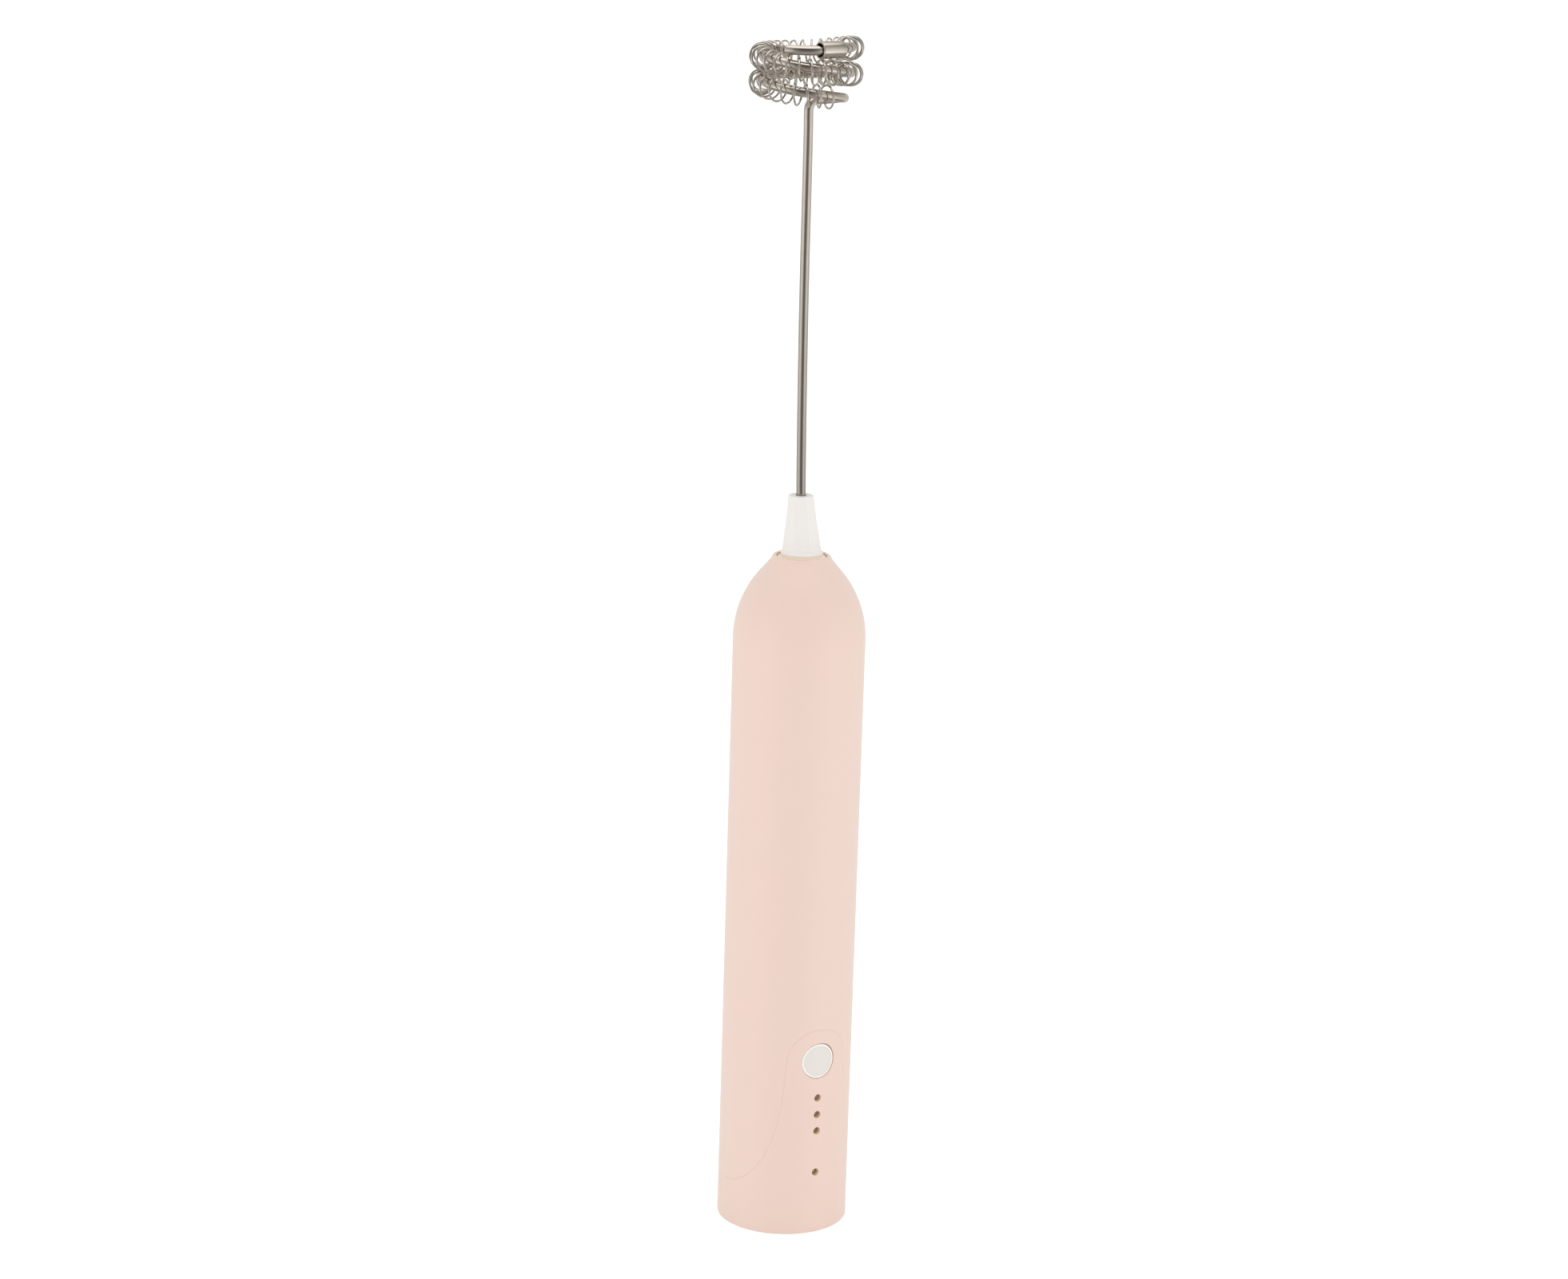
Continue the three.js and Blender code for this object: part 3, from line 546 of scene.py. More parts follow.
BUTTON_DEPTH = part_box("button")[1].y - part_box("button")[0].y
BUTTON_SET_BACK = 0.02 * MM
BUTTON_FLANGE_R = 4.8 * MM
BUTTON_FLANGE = (2.1 * MM, 2.9 * MM)  # depths of its front and its back
BUTTON_STEM_R = 2.2 * MM
BUTTON_CURVED = 1.5 * MM  # how deep the button still follows the curve of the panel


def button(material):
    """A disc that follows the curve of the panel, with a raised rim that its material paints bright as a
    highlight, and a flange behind.
    """
    patches = Patches()
    profile = rounded_profile(  # its heights are depths behind the panel's surface
        [
            (AXIS, 0.26 * MM, 0),
            (BUTTON_R - 0.48 * MM, 0.22 * MM, 0.15 * MM),
            (BUTTON_R - 0.34 * MM, 0.08 * MM, 0.08 * MM),
            (BUTTON_R - 0.14 * MM, 0.08 * MM, 0.08 * MM),
            (BUTTON_R, 0.26 * MM, 0.1 * MM),
            (BUTTON_R, BUTTON_FLANGE[0], 0.05 * MM),
            (BUTTON_FLANGE_R, BUTTON_FLANGE[0], 0.1 * MM),
            (BUTTON_FLANGE_R, BUTTON_FLANGE[1], 0.1 * MM),
            (BUTTON_STEM_R, BUTTON_FLANGE[1], 0.1 * MM),
            (BUTTON_STEM_R, BUTTON_DEPTH, 0.1 * MM),
            (AXIS, BUTTON_DEPTH, 0),
        ]
    )
    count = 96
    turn = round_turn(count)
    rows = []
    for r, back in profile:
        x = r * np.cos(turn)
        curve = BODY_R - np.sqrt(BODY_R**2 - x**2) if back < BUTTON_CURVED else 0
        y = -BODY_R + BUTTON_SET_BACK + back + curve
        z = BUTTON_Z + BUTTON_SAG[1] + r * np.sin(turn)
        rows.append(np.column_stack([x + BUTTON_SAG[0], np.broadcast_to(y, count), z]))
    patches.loft(rows)
    patches.cap(rows[0])
    patches.cap(rows[-1])
    return patches.build("button_cap", "button", material, ["button"], "white_plastic", crease=50)


# ---- whisk head ----------------------------------------------------------------------------------


def whisk_turn(points):
    """Whisk points, drawn with the camera's right as +X, turned as the whisk rests."""
    x, y, z = np.asarray(points, float).T
    c, s = math.cos(WHISK_YAW), math.sin(WHISK_YAW)
    return np.column_stack([x * c - y * s, x * s + y * c, z])


def by_quarter(values, turn):
    """A value that is given at every quarter turn, eased between them, in millimetres."""
    at = min(max(turn / 90, 0), len(values) - 1.001)
    k = int(at)
    t = at - k
    a, b, c, d = (values[min(max(i, 0), len(values) - 1)] for i in (k - 1, k, k + 1, k + 2))
    cubic = (2 * a - 5 * b + 4 * c - d + (3 * b - a - 3 * c + d) * t) * t
    return (b + 0.5 * t * (c - a + cubic)) * MM


def ring_point(turn):
    """Centre of the ring wire."""
    a = math.radians(turn)
    radius = RING_R - RING_RUN_IN * math.exp(-turn / RING_RUN_IN_TURN)
    return np.array([RING_X + radius * math.cos(a), -radius * math.sin(a), by_quarter(LEVELS, turn)])


# The wire from inside the crooked cone, up the shaft as it bends back towards straight, and round the
# bend to the ring: to the right, back and up, in millimetres.
SHAFT = (
    (CROOK * 3.05, 0, 150.4),
    (CROOK * 12.85, 0, 160.2),
    (-0.78, 0, 170),
    (-1.05, 0, 187),
    (-1.25, 0, 205),
    (-1.36, 0, 230),
    (-1.4, 0, 236.5),
    (-1.46, 0, 239.5),
    (-1.39, 0.05, 240.95),
    (-0.82, 0.55, 242),
    (0.42, 1.6, 242.38),
    (1.77, 2.3, 242.45),
    (3.27, 2.4, 242.58),
    (4.57, 1.6, 242.8),
)


def whisk_wire(material):
    points = [np.array(p) * MM for p in SHAFT]
    points.extend(ring_point(t) for t in np.linspace(0, TIP_TURN, 84))
    path = whisk_turn(smooth_path(points, 5))
    patches = solid_sweep(path, WIRE_R, 28, end_round=0.5 * MM)
    return patches.build("whisk_wire", "whisk", material, ["whisk_shaft"], "stainless_wire", crease=60)


def coils_until(turn):
    """Coils of the spring before a turn: they lie closer at the back and in the upper round."""
    a = math.radians(turn)
    upper = max(0, turn - UPPER_TURN)
    even = COIL_START + COILS_PER_DEGREE * turn
    return even + BACK_COILS * math.cos(a) + UPPER_COILS_PER_DEGREE * upper


def spring_path():
    """The loose coils threaded round the ring, which hang a little below its wire."""
    path = []
    for turn in np.linspace(*SPRING_TURNS, SPRING_STEPS):
        centre = ring_point(turn)
        along = ring_point(turn + 0.5) - ring_point(turn - 0.5)
        along /= np.linalg.norm(along)
        out = np.array([math.cos(math.radians(turn)), -math.sin(math.radians(turn)), 0])
        up = np.cross(along, out)
        up /= np.linalg.norm(up)
        phase = 2 * math.pi * coils_until(turn)
        at = centre + SPRING_R * (out * math.cos(phase) + up * math.sin(phase))
        at[2] -= by_quarter(SAGS, turn)
        path.append(at)
    return whisk_turn(path)


def whisk_spring(material):
    patches = solid_sweep(spring_path(), SPRING_WIRE_R, 10, start_round=0.2 * MM, end_round=0.2 * MM)
    return patches.build(
        "whisk_spring_coil", "whisk", material, ["whisk_spring"], "stainless_wire", crease=60, weld=1e-7
    )


FERRULE_HALF = 2.8 * MM
FERRULE_R = 1.8 * MM
FERRULE_MOUTH_R = 1.42 * MM
FERRULE_BORE_R = 1.12 * MM


def ferrule(material):
    """A short tube, open and belled at the mouth and pressed flat on the wire at the other end."""
    middle = ring_point(FERRULE_TURN)
    a = math.radians(FERRULE_TURN)
    along = np.array([-math.sin(a), -math.cos(a), 0])
    out = np.array([math.cos(a), -math.sin(a), 0])
    centre = middle - out * 0.2 * MM
    profile = rounded_profile(
        [
            (FERRULE_MOUTH_R, FERRULE_HALF - 2 * MM, 0),
            (FERRULE_MOUTH_R, FERRULE_HALF, 0.08 * MM),
            (FERRULE_R, FERRULE_HALF, 0.16 * MM),
            (FERRULE_R - 0.04 * MM, -FERRULE_HALF + 1.2 * MM, 0.6 * MM),
            (FERRULE_R - 0.14 * MM, -FERRULE_HALF, 0.16 * MM),
            (FERRULE_BORE_R, -FERRULE_HALF, 0.1 * MM),
            (FERRULE_BORE_R, FERRULE_HALF - 2.3 * MM, 0.1 * MM),
            (FERRULE_MOUTH_R, FERRULE_HALF - 2 * MM, 0),
        ]
    )
    turn = round_turn(56)
    rows = [
        centre + along * x + r * (np.outer(np.cos(turn), out) + np.outer(np.sin(turn), (0, 0, 1)))
        for r, x in profile
    ]
    patches = Patches()
    patches.loft([whisk_turn(row) for row in rows])
    replaced = ["spring_ferrule"]
    return patches.build("ferrule_tube", "whisk", material, replaced, "stainless_wire", crease=50)


SPIGOT_R = 5.12 * MM  # the part of the cone that stands in the well
SPIGOT_TOP = NECK_Z - 0.35 * MM
COLLAR_R = 4.3 * MM
FLANGE_R = 4.45 * MM
SOCKET_R = 2.55 * MM
SOCKET_TOP = 150.2 * MM
WIRE_HOLE_R = 1.12 * MM
WIRE_HOLE = 1.5 * MM
FLUTE = 0.3 * MM


def cone_profile():
    return rounded_profile(
        [
            (AXIS, SOCKET_TOP, 0),
            (SOCKET_R, SOCKET_TOP, 0),
            (SOCKET_R, CONE_FOOT, 0.1 * MM),
            (SPIGOT_R, CONE_FOOT, 0.3 * MM),
            (SPIGOT_R, SPIGOT_TOP, 0.12 * MM),
            (COLLAR_R, SPIGOT_TOP, 0.12 * MM),
            (COLLAR_R, CONE_Z, 0.05 * MM),
            (FLANGE_R, CONE_Z, 0.08 * MM),
            (FLANGE_R, CONE_Z + 0.4 * MM, 0.15 * MM),
            (4.12 * MM, CONE_Z + 0.6 * MM, 0.2 * MM),
            (4.02 * MM, CONE_Z + 1.4 * MM, 0.4 * MM),
            (3.84 * MM, CONE_Z + 2.7 * MM, 1 * MM),
            (3.48 * MM, CONE_Z + 5.2 * MM, 1 * MM),
            (3.18 * MM, CONE_Z + 7.4 * MM, 1 * MM),
            (2.88 * MM, CONE_TOP - 2.6 * MM, 0.8 * MM),
            (2.66 * MM, CONE_TOP, 0.25 * MM),
            (WIRE_HOLE_R, CONE_TOP, 0.1 * MM),
            (WIRE_HOLE_R, CONE_TOP - WIRE_HOLE, 0),
            (AXIS, CONE_TOP - WIRE_HOLE, 0),
        ]
    )


def whisk_cone(material):
    """Six broad shallow flutes between soft ribs, over a thin flange."""
    count = 144
    turn = round_turn(count)
    rib = np.abs(np.sin(3 * turn)) ** 8
    rows = []
    for r, z in cone_profile():
        rise = np.clip((z - CONE_Z - 0.9 * MM) / (1.2 * MM), 0, 1)
        fall = np.clip((CONE_TOP - 0.9 * MM - z) / (1.2 * MM), 0, 1)
        depth = FLUTE * rise * fall if r > 2.6 * MM else 0
        fluted = r - depth * (1 - rib)
        straight = r <= 3 * MM and z <= 150 * MM  # the socket stays on the axis
        aside = 0 if straight else CROOK * max(0, z - NECK_Z)
        row = np.column_stack([aside + fluted * np.sin(turn), -fluted * np.cos(turn), np.full(count, z)])
        rows.append(whisk_turn(row))
    patches = Patches()
    patches.loft(rows)
    patches.cap(rows[0])
    patches.cap(rows[-1])
    return patches.build("whisk_cone_skin", "whisk", material, ["whisk_cone"], "white_plastic", crease=45)


# ---- materials -----------------------------------------------------------------------------------


class Shader:
    """A Principled material, and short calls for the nodes that vary it."""

    def __init__(self, name, colour, roughness, metallic=0.0, **sockets):
        self.material = bpy.data.materials.new(name)
        self.material.use_nodes = True
        self.tree = self.material.node_tree
        self.main = self.tree.nodes["Principled BSDF"]
        self.colour = (*colour, 1)
        self.main.inputs["Base Color"].default_value = self.colour
        self.main.inputs["Roughness"].default_value = roughness
        self.main.inputs["Metallic"].default_value = metallic
        for socket, value in sockets.items():
            self.main.inputs[socket.replace("_", " ")].default_value = value
        self.where = self.node("ShaderNodeTexCoord").outputs["Object"]

    def node(self, kind, **values):
        made = self.tree.nodes.new(kind)
        for key, value in values.items():
            setattr(made, key, value)
        return made

    def link(self, out, into):
        self.tree.links.new(out, into)

    def between(self, coordinate, start, end):
        """1 where an object coordinate is at start, 0 where it is at end."""
        parts = self.node("ShaderNodeSeparateXYZ")
        self.link(self.where, parts.inputs["Vector"])
        return self.spread(parts.outputs[coordinate], 1, 0, start, end)

    def distance(self, centre, axes):
        """Distance of a point from a centre, counted only along the axes that are 1."""
        away = self.node("ShaderNodeVectorMath", operation="SUBTRACT")
        self.link(self.where, away.inputs[0])
        away.inputs[1].default_value = centre
        flat = self.node("ShaderNodeVectorMath", operation="MULTIPLY")
        self.link(away.outputs["Vector"], flat.inputs[0])
        flat.inputs[1].default_value = axes
        reach = self.node("ShaderNodeVectorMath", operation="LENGTH")
        self.link(flat.outputs["Vector"], reach.inputs[0])
        return reach.outputs["Value"]

    def maths(self, operation, first, second):
        made = self.node("ShaderNodeMath", operation=operation)
        self.link(first, made.inputs[0])
        if isinstance(second, float):
            made.inputs[1].default_value = second
        else:
            self.link(second, made.inputs[1])
        return made.outputs["Value"]

    def stretched(self, scale):
        mapping = self.node("ShaderNodeMapping")
        mapping.inputs["Scale"].default_value = scale
        self.link(self.where, mapping.inputs["Vector"])
        return mapping.outputs["Vector"]

    def noise(self, per_metre, detail=2.0, stretch=(1, 1, 1)):
        made = self.node("ShaderNodeTexNoise")
        self.link(self.stretched(stretch), made.inputs["Vector"])
        made.inputs["Scale"].default_value = per_metre
        made.inputs["Detail"].default_value = detail
        return made.outputs["Fac"]

    def spread(self, value, low, high, start=0.3, end=0.7):
        """value, from start to end, mapped to low to high."""
        made = self.node("ShaderNodeMapRange")
        self.link(value, made.inputs["Value"])
        for socket, number in (("From Min", start), ("From Max", end), ("To Min", low), ("To Max", high)):
            made.inputs[socket].default_value = number
        return made.outputs["Result"]

    def mix(self, amount, first, second):
        """A colour between two: each is a colour or an output."""
        made = self.node("ShaderNodeMix", data_type="RGBA")
        self.link(amount, made.inputs["Factor"])
        for socket, value in (("A", first), ("B", second)):
            into = [i for i in made.inputs if i.name == socket and i.type == "RGBA"][0]
            if isinstance(value, tuple):
                into.default_value = (*value[:3], 1)
            else:
                self.link(value, into)
        return [o for o in made.outputs if o.type == "RGBA"][0]

    def tint(self, other, amount):
        """Mixes another colour into the base colour, by an output from 0 to 1."""
        before = self.main.inputs["Base Color"]
        first = before.links[0].from_socket if before.links else self.colour
        self.link(self.mix(amount, first, other), before)

    def roughness(self, value, low, high, start=0.3, end=0.7):
        self.link(self.spread(value, low, high, start, end), self.main.inputs["Roughness"])

    def bump(self, value, distance, strength=1.0):
        made = self.node("ShaderNodeBump")
        made.inputs["Distance"].default_value = distance
        made.inputs["Strength"].default_value = strength
        self.link(value, made.inputs["Height"])
        normal = self.main.inputs["Normal"]
        if normal.links:
            self.link(normal.links[0].from_socket, made.inputs["Normal"])
        self.link(made.outputs["Normal"], normal)


GRAIN = 0.004 * MM  # depth of the spark-eroded grain on moulded plastic


def flow_marks(made, colour):
    """Faint warmer streaks, as the plastic ran in its mould."""
    warm = tuple(min(1, c * f) for c, f in zip(colour, (1.012, 0.985, 0.965)))
    made.tint(warm, made.spread(made.noise(38, 2, (1, 1, 0.35)), 0, 0.6))


def moulded_surface(made, low, high, grain=GRAIN):
    """Roughness from low to high, and a fine grain."""
    made.roughness(made.noise(160, 4), low, high)
    made.bump(made.noise(5200, 3), grain, 0.5)


def handling_marks(made):
    made.bump(made.noise(90, 2), 0.01 * MM, 0.25)


def moulded(name, colour, roughness, grain=GRAIN, **sockets):
    """Injection-moulded plastic."""
    made = Shader(name, colour, roughness, **sockets)
    flow_marks(made, colour)
    moulded_surface(made, roughness * 0.9, roughness * 1.12, grain)
    handling_marks(made)
    return made.material


def panel_plastic(name, colour):
    """The base cap's plastic, with painted tan shade on every surface more than 0.12 mm below its skin,
    above the foot: the walls of the light holes, the button's hole and the seam, and the inside.
    """
    made = Shader(name, colour, 0.4, Sheen_Weight=0.18)
    flow_marks(made, colour)
    inner = BODY_R - 0.12 * MM
    painted_shade_below_skin = made.spread(made.distance((0, 0, 0), (1, 1, 0)), 1, 0, inner - 0.1 * MM, inner)
    above_foot = made.between("Z", 6 * MM, 5 * MM)
    # Painted shade: the tan darkens these recessed walls as shade would.
    made.tint((0.78, 0.6, 0.42), made.maths("MULTIPLY", painted_shade_below_skin, above_foot))
    moulded_surface(made, 0.36, 0.45)
    handling_marks(made)
    return made.material


def cone_plastic(name, colour):
    """The cone's plastic, with a painted cream band just under the flange: paler and warmer than the
    cone, it lifts the shade there and gives it a warm tone.
    """
    made = Shader(name, colour, 0.34, Sheen_Weight=0.08)
    made.tint(tuple(c * 0.96 for c in colour), made.spread(made.noise(60, 2, (1, 1, 0.3)), 0, 0.6))
    below = made.between("Z", CONE_Z - 0.06 * MM, CONE_Z)
    above = made.between("Z", NECK_Z - 0.38 * MM, NECK_Z - 0.6 * MM)
    # Painted light and shade: the collar under the flange is lightened against its shade and tinted warm
    # cream.
    made.tint((0.93, 0.82, 0.68), made.maths("MULTIPLY", below, above))
    moulded_surface(made, 0.3, 0.38)
    return made.material


def rimmed_plastic(name, face, rim):
    """The button's plastic: a satin face inside a rim painted paler, as a painted highlight."""
    made = Shader(name, face, 0.34)
    reach = made.distance((BUTTON_SAG[0], 0, BUTTON_Z + BUTTON_SAG[1]), (1, 0, 1))
    # Painted highlight: the rim's paler colour stands in for the light that its rounded edge catches.
    made.tint(rim, made.spread(reach, 0, 1, BUTTON_R - 0.5 * MM, BUTTON_R - 0.28 * MM))
    moulded_surface(made, 0.3, 0.38)
    return made.material


def drawn_steel(name, colour, roughness):
    """Drawn stainless wire: fine marks along its length, a little tarnish, and darker and rougher towards
    the cone.
    """
    made = Shader(name, colour, roughness, metallic=1.0)
    tarnish = made.noise(420, 3)
    made.tint(tuple(c * f for c, f in zip(colour, (0.86, 0.82, 0.76))), made.spread(tarnish, 0, 0.5))
    towards_cone = made.between("Z", 160 * MM, 236 * MM)
    # Darker towards the cone: the colour falls to 0.62 of itself at z = 160 mm.
    made.tint(tuple(c * 0.62 for c in colour), towards_cone)
    lines = made.noise(2600, 3, (1, 1, 0.02))
    fine = made.spread(lines, roughness * 0.8, roughness * 1.35)
    rough = made.maths("ADD", fine, made.maths("MULTIPLY", towards_cone, 0.16))
    made.link(rough, made.main.inputs["Roughness"])
    made.bump(lines, 0.0015 * MM, 0.6)
    return made.material


def turned_metal(name, colour, roughness, per_metre=3000):
    """Machined or pressed metal: fine rings of tool marks and slight patina."""
    made = Shader(name, colour, roughness, metallic=1.0)
    made.tint(tuple(c * 0.8 for c in colour), made.spread(made.noise(300, 4), 0, 0.45))
    marks = made.noise(per_metre, 2, (0.05, 0.05, 1))
    made.roughness(marks, roughness * 0.8, roughness * 1.3)
    made.bump(marks, 0.002 * MM, 0.5)
    return made.material


def sintered(name, colour, roughness):
    """Pressed ferrite: dull, fine-grained, with paler worn corners."""
    made = Shader(name, colour, roughness)
    speck = made.noise(4200, 4)
    made.tint(tuple(min(1, c * 1.9) for c in colour), made.spread(speck, 0, 0.4, 0.5, 0.75))
    made.bump(speck, 0.02 * MM, 0.6)
    return made.material


def wound_copper(name):
    """Enamelled magnet wire wound in layers."""
    made = Shader(name, (0.62, 0.23, 0.08), 0.3, metallic=1.0, Coat_Weight=0.6, Coat_Roughness=0.15)
    wave = made.node("ShaderNodeTexWave", wave_type="BANDS", bands_direction="DIAGONAL")
    made.link(made.stretched((1, 1, 1)), wave.inputs["Vector"])
    wave.inputs["Scale"].default_value = 1250
    wave.inputs["Distortion"].default_value = 1.2
    made.tint((0.3, 0.08, 0.025), made.spread(wave.outputs["Fac"], 0.75, 0, 0, 0.5))
    made.bump(wave.outputs["Fac"], 0.06 * MM, 0.8)
    return made.material


def insulation(name, colour):
    """Soft PVC wire insulation with a faint pull texture."""
    made = Shader(name, colour, 0.38)
    made.tint(tuple(min(1, c * 1.5 + 0.02) for c in colour), made.spread(made.noise(500, 3), 0, 0.3))
    made.roughness(made.noise(900, 2), 0.3, 0.5)
    made.bump(made.noise(1500, 2, (1, 1, 0.2)), 0.01 * MM, 0.4)
    return made.material


def printed_board(name):
    """Solder mask over copper tracks, with vias."""
    made = Shader(name, (0.012, 0.15, 0.05), 0.32, Coat_Weight=0.3, Coat_Roughness=0.1)
    brick = made.node("ShaderNodeTexBrick", offset=0.37, squash=1.6, squash_frequency=3)
    flat = made.node("ShaderNodeMapping")
    flat.inputs["Rotation"].default_value = (math.radians(90), 0, 0)
    made.link(made.where, flat.inputs["Vector"])
    made.link(flat.outputs["Vector"], brick.inputs["Vector"])
    brick.inputs["Scale"].default_value = 300
    brick.inputs["Mortar Size"].default_value = 0.06
    brick.inputs["Mortar Smooth"].default_value = 0.1
    tracks = brick.outputs["Fac"]
    made.tint((0.05, 0.3, 0.1), tracks)
    vias = made.node("ShaderNodeTexVoronoi", feature="F1")
    made.link(made.where, vias.inputs["Vector"])
    vias.inputs["Scale"].default_value = 380
    made.tint((0.75, 0.6, 0.35), made.spread(vias.outputs["Distance"], 1, 0, 0.13, 0.17))
    made.bump(tracks, 0.03 * MM, 0.7)
    return made.material


def shrink_sleeve(name):
    """Heat-shrunk sleeve over the cell, wrinkled near its ends."""
    made = Shader(name, (0.03, 0.2, 0.48), 0.28, Coat_Weight=0.4, Coat_Roughness=0.2)
    made.tint((0.05, 0.29, 0.6), made.spread(made.noise(60, 3), 0, 0.7))
    made.bump(made.noise(420, 3, (1, 1, 0.25)), 0.05 * MM, 0.5)
    made.roughness(made.noise(300, 3), 0.22, 0.36)
    return made.material


def soft_rubber(name):
    made = Shader(name, (0.24, 0.23, 0.22), 0.72)
    made.tint((0.33, 0.32, 0.31), made.spread(made.noise(900, 4), 0, 0.5))
    made.bump(made.noise(3000, 3), 0.015 * MM, 0.5)
    return made.material


def clear_plastic(name):
    # Painted shade: the dark brown base colour stands for the shade deep in the light holes, where this
    # plastic shows.
    made = Shader(name, (0.42, 0.28, 0.15), 0.3, Transmission_Weight=0.15, IOR=1.49)
    made.roughness(made.noise(700, 3), 0.12, 0.3)
    made.bump(made.noise(400, 2), 0.01 * MM, 0.3)
    return made.material


def led_lens(name):
    made = Shader(name, (0.85, 0.78, 0.45), 0.25, Subsurface_Weight=0.3)
    made.tint((0.9, 0.88, 0.7), made.spread(made.noise(2500, 3), 0, 0.6))
    made.bump(made.noise(2500, 2), 0.01 * MM, 0.3)
    return made.material


SHELL_PINK = (0.755, 0.585, 0.515)


def make_materials():
    return {
        "shell_pink": moulded("shell_pink", SHELL_PINK, 0.4, Sheen_Weight=0.18),
        "white_plastic": moulded("white_plastic", (0.765, 0.735, 0.715), 0.34, Sheen_Weight=0.08),
        "frame_plastic": moulded("frame_plastic", (0.66, 0.66, 0.68), 0.55, grain=0.01 * MM),
        "black_plastic": moulded("black_plastic", (0.018, 0.018, 0.02), 0.45, grain=0.01 * MM),
        "clear_plastic": clear_plastic("clear_plastic"),
        "led_lens": led_lens("led_lens"),
        "stainless_wire": drawn_steel("stainless_wire", (0.65, 0.6, 0.545), 0.06),
        "plated_steel": turned_metal("plated_steel", (0.55, 0.54, 0.52), 0.3),
        "nickel": turned_metal("nickel", (0.62, 0.58, 0.52), 0.3),
        "brass": turned_metal("brass", (0.72, 0.48, 0.18), 0.28),
        "copper": wound_copper("copper"),
        "ferrite": sintered("ferrite", (0.045, 0.045, 0.05), 0.7),
        "fibreglass": printed_board("fibreglass"),
        "cell_sleeve": shrink_sleeve("cell_sleeve"),
        "seal_rubber": soft_rubber("seal_rubber"),
        "red_insulation": insulation("red_insulation", (0.45, 0.02, 0.015)),
        "black_insulation": insulation("black_insulation", (0.02, 0.02, 0.022)),
    }


def dress_cad_nodes(materials):
    """Every CAD node that stays gets the material of its slot."""
    slots = {row["node"]: row["material_slot"] for row in frame["record"]["subparts"]}
    for name, node in frame["nodes"].items():
        node.data.materials.clear()
        node.data.materials.append(materials[slots[name]])
        for face in node.data.polygons:
            face.material_index = 0


# ---- studio --------------------------------------------------------------------------------------

FLOOR_HALF = 12


def make_floor():
    mesh = bpy.data.meshes.new("floor")
    corners = [(x * FLOOR_HALF, y * FLOOR_HALF, 0) for x, y in ((-1, -1), (1, -1), (1, 1), (-1, 1))]
    mesh.from_pydata(corners, [], [(0, 1, 2, 3)])
    floor = bpy.data.objects.new("floor", mesh)
    made = Shader("floor", (0.93, 0.93, 0.93), 0.8)
    made.main.inputs["Specular IOR Level"].default_value = 0.1
    made.main.inputs["Emission Color"].default_value = (1, 1, 1, 1)
    made.main.inputs["Emission Strength"].default_value = 0.2
    mesh.materials.append(made.material)
    bpy.context.collection.objects.link(floor)
    floor.visible_glossy = False


DOME_R = 3.0
DOME_Z = 0.15
DOME_SIDES = 180

# Brightness of the tent by direction, as (degrees, value). Azimuths are from the camera to either side.
TENT_SIDES = (
    (0, 0.19),
    (14, 0.21),
    (26, 0.34),
    (42, 0.85),
    (67, 1.15),
    (94, 0.74),
    (131, 0.72),
    (180, 0.8),
)
TENT_OPENING = ((0, 1), (100, 1), (150, 0.4))  # how much of the room shows
ROOM = ((-24, 1.3), (-10, 1.05), (0, 0.9), (24, 0.6), (50, 0.42), (60, 0.85), (70, 1))  # by elevation
TENT_TOP = 56  # elevation where the sides end
OVERHEAD = 1.45
OVERHEAD_SHARE = ((48, 0), (66, 1))  # by elevation
TABLE = 0.4
TABLE_SHARE = ((-34, 1), (-24, 0))


def read_off(stops, angle):
    """A value between stops."""
    return np.interp(angle, *zip(*stops))


def sky_level(azimuth, elevation):
    """Brightness of the studio in a direction, as polished metal sees it.

    The tent is open and dark towards the camera and white to the sides and overhead, and the table
    below is a mid tone."""
    opening = read_off(TENT_OPENING, np.abs(azimuth))
    sides = np.where(elevation < TENT_TOP, read_off(TENT_SIDES, np.abs(azimuth)), 1.0)
    level = sides * (1 - opening * (1 - read_off(ROOM, elevation)))
    over = read_off(OVERHEAD_SHARE, elevation)
    level = level * (1 - over) + OVERHEAD * over
    table = read_off(TABLE_SHARE, elevation)
    return level * (1 - table) + TABLE * table


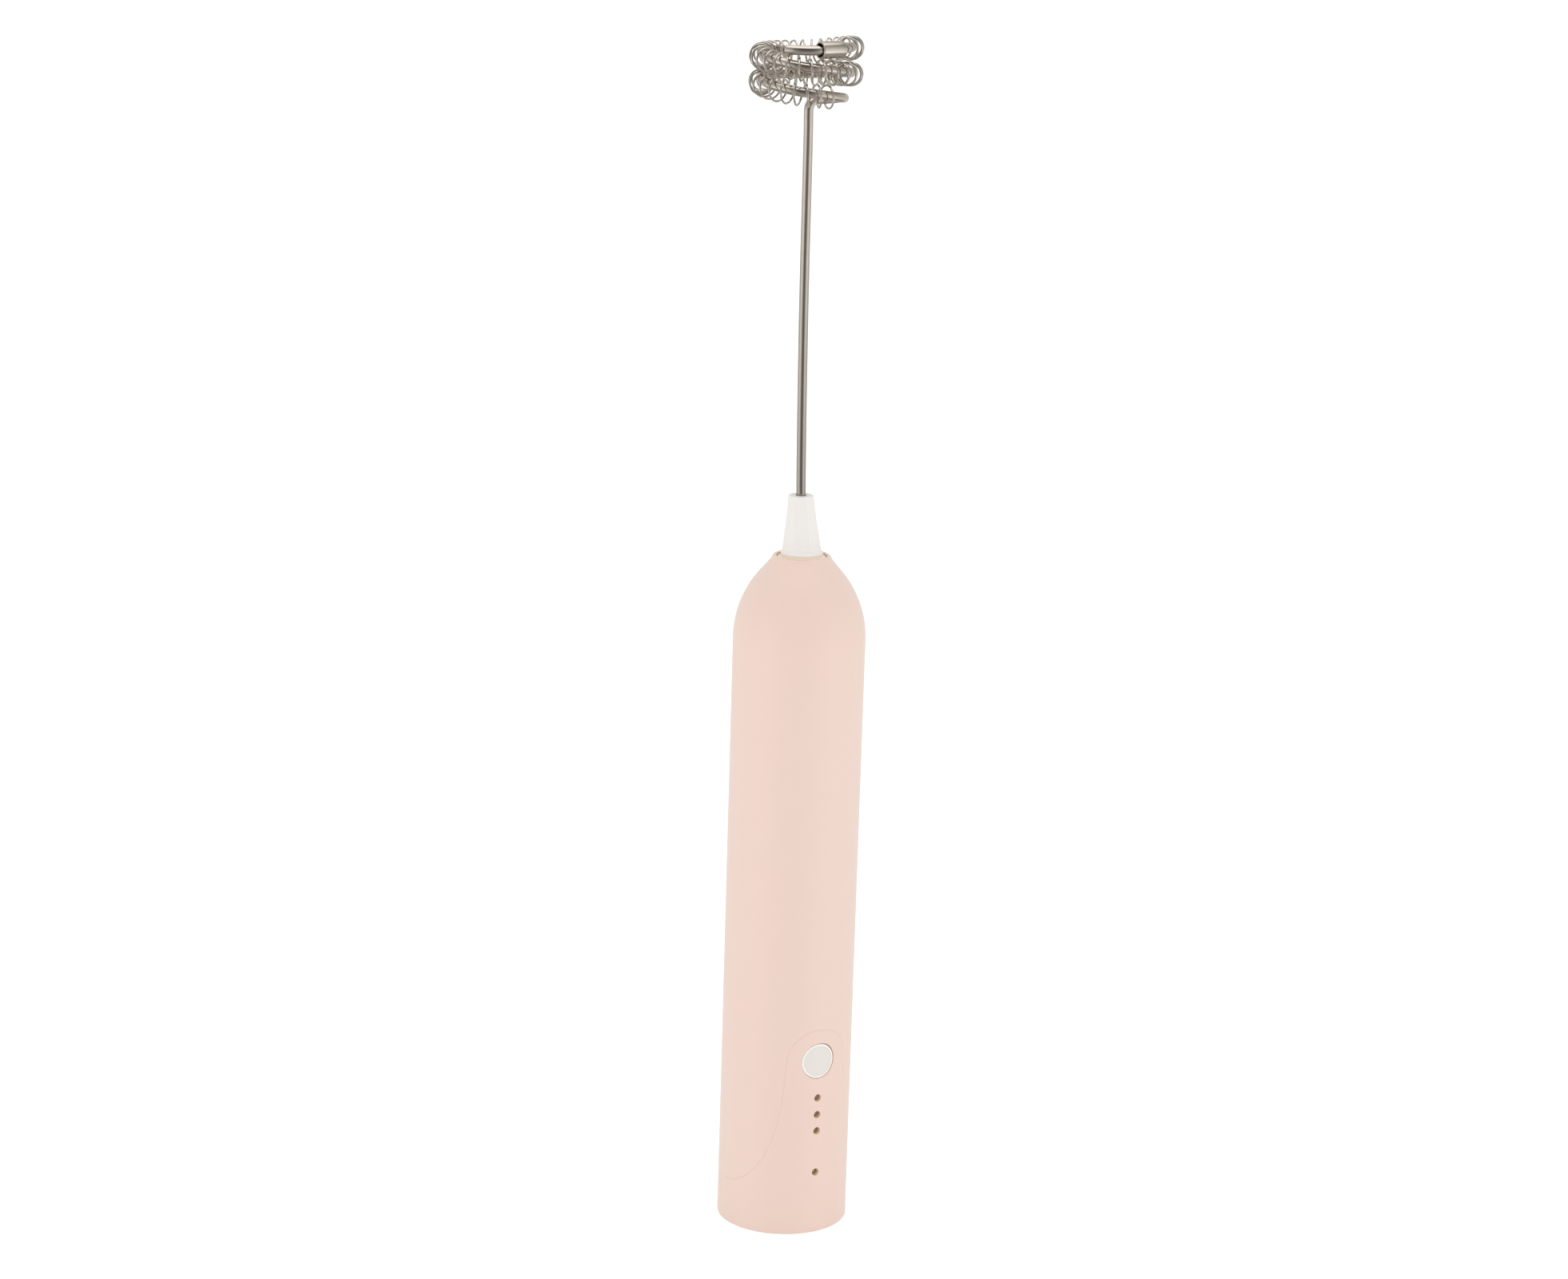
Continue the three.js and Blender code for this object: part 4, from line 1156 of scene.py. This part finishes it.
def glow_material():
    """Light of the colour stored at the dome's corners."""
    material = bpy.data.materials.new("reflections")
    material.use_nodes = True
    tree = material.node_tree
    tree.nodes.clear()
    out = tree.nodes.new("ShaderNodeOutputMaterial")
    light = tree.nodes.new("ShaderNodeEmission")
    stored = tree.nodes.new("ShaderNodeVertexColor")
    stored.layer_name = "glow"
    tree.links.new(stored.outputs["Color"], light.inputs["Color"])
    tree.links.new(light.outputs["Emission"], out.inputs["Surface"])
    material.cycles.emission_sampling = "NONE"
    return material


def make_reflections():
    """A dome that only glossy surfaces see, with its brightness stored at its corners."""
    points = []
    levels = []
    elevations = np.radians(np.arange(-88, 89, 2.0))
    turn = round_turn(DOME_SIDES)
    azimuth = np.degrees(turn - CAMERA_AZIMUTH + math.pi) % 360 - 180
    for e in elevations:
        r = DOME_R * math.cos(e)
        z = DOME_R * math.sin(e) + DOME_Z
        points.extend((float(r * math.sin(a)), float(-r * math.cos(a)), z) for a in turn)
        levels.extend(sky_level(azimuth, np.full(DOME_SIDES, math.degrees(e))))
    mesh = bpy.data.meshes.new("reflections")
    mesh.from_pydata(points, [], quads(len(elevations), DOME_SIDES))
    glow = mesh.color_attributes.new("glow", "FLOAT_COLOR", "POINT")
    colours = [c for level in levels for c in (level, level * 0.985, level * 0.955, 1)]
    glow.data.foreach_set("color", colours)
    mesh.materials.append(glow_material())
    dome = bpy.data.objects.new("reflections", mesh)
    bpy.context.collection.objects.link(dome)
    dome.visible_camera = False
    dome.visible_diffuse = False
    dome.visible_shadow = False
    dome.visible_transmission = False


def make_world():
    world = bpy.data.worlds.new("studio")
    world.use_nodes = True
    background = world.node_tree.nodes["Background"]
    background.inputs["Color"].default_value = (1, 0.995, 0.985, 1)
    background.inputs["Strength"].default_value = 1.1
    bpy.context.scene.world = world


# ---- build it all --------------------------------------------------------------------------------

materials = make_materials()
dress_cad_nodes(materials)
upper_shell(materials["shell_pink"])
base_cap(panel_plastic("panel_pink", SHELL_PINK))
button(rimmed_plastic("button_plastic", (0.7, 0.67, 0.635), (0.9, 0.88, 0.85)))
whisk_cone(cone_plastic("cone_plastic", (0.79, 0.76, 0.74)))
whisk_wire(materials["stainless_wire"])
whisk_spring(drawn_steel("spring_wire", (0.7, 0.67, 0.63), 0.07))
ferrule(materials["stainless_wire"])

make_floor()
make_reflections()
make_world()
bpy.context.scene.view_settings.view_transform = "Standard"
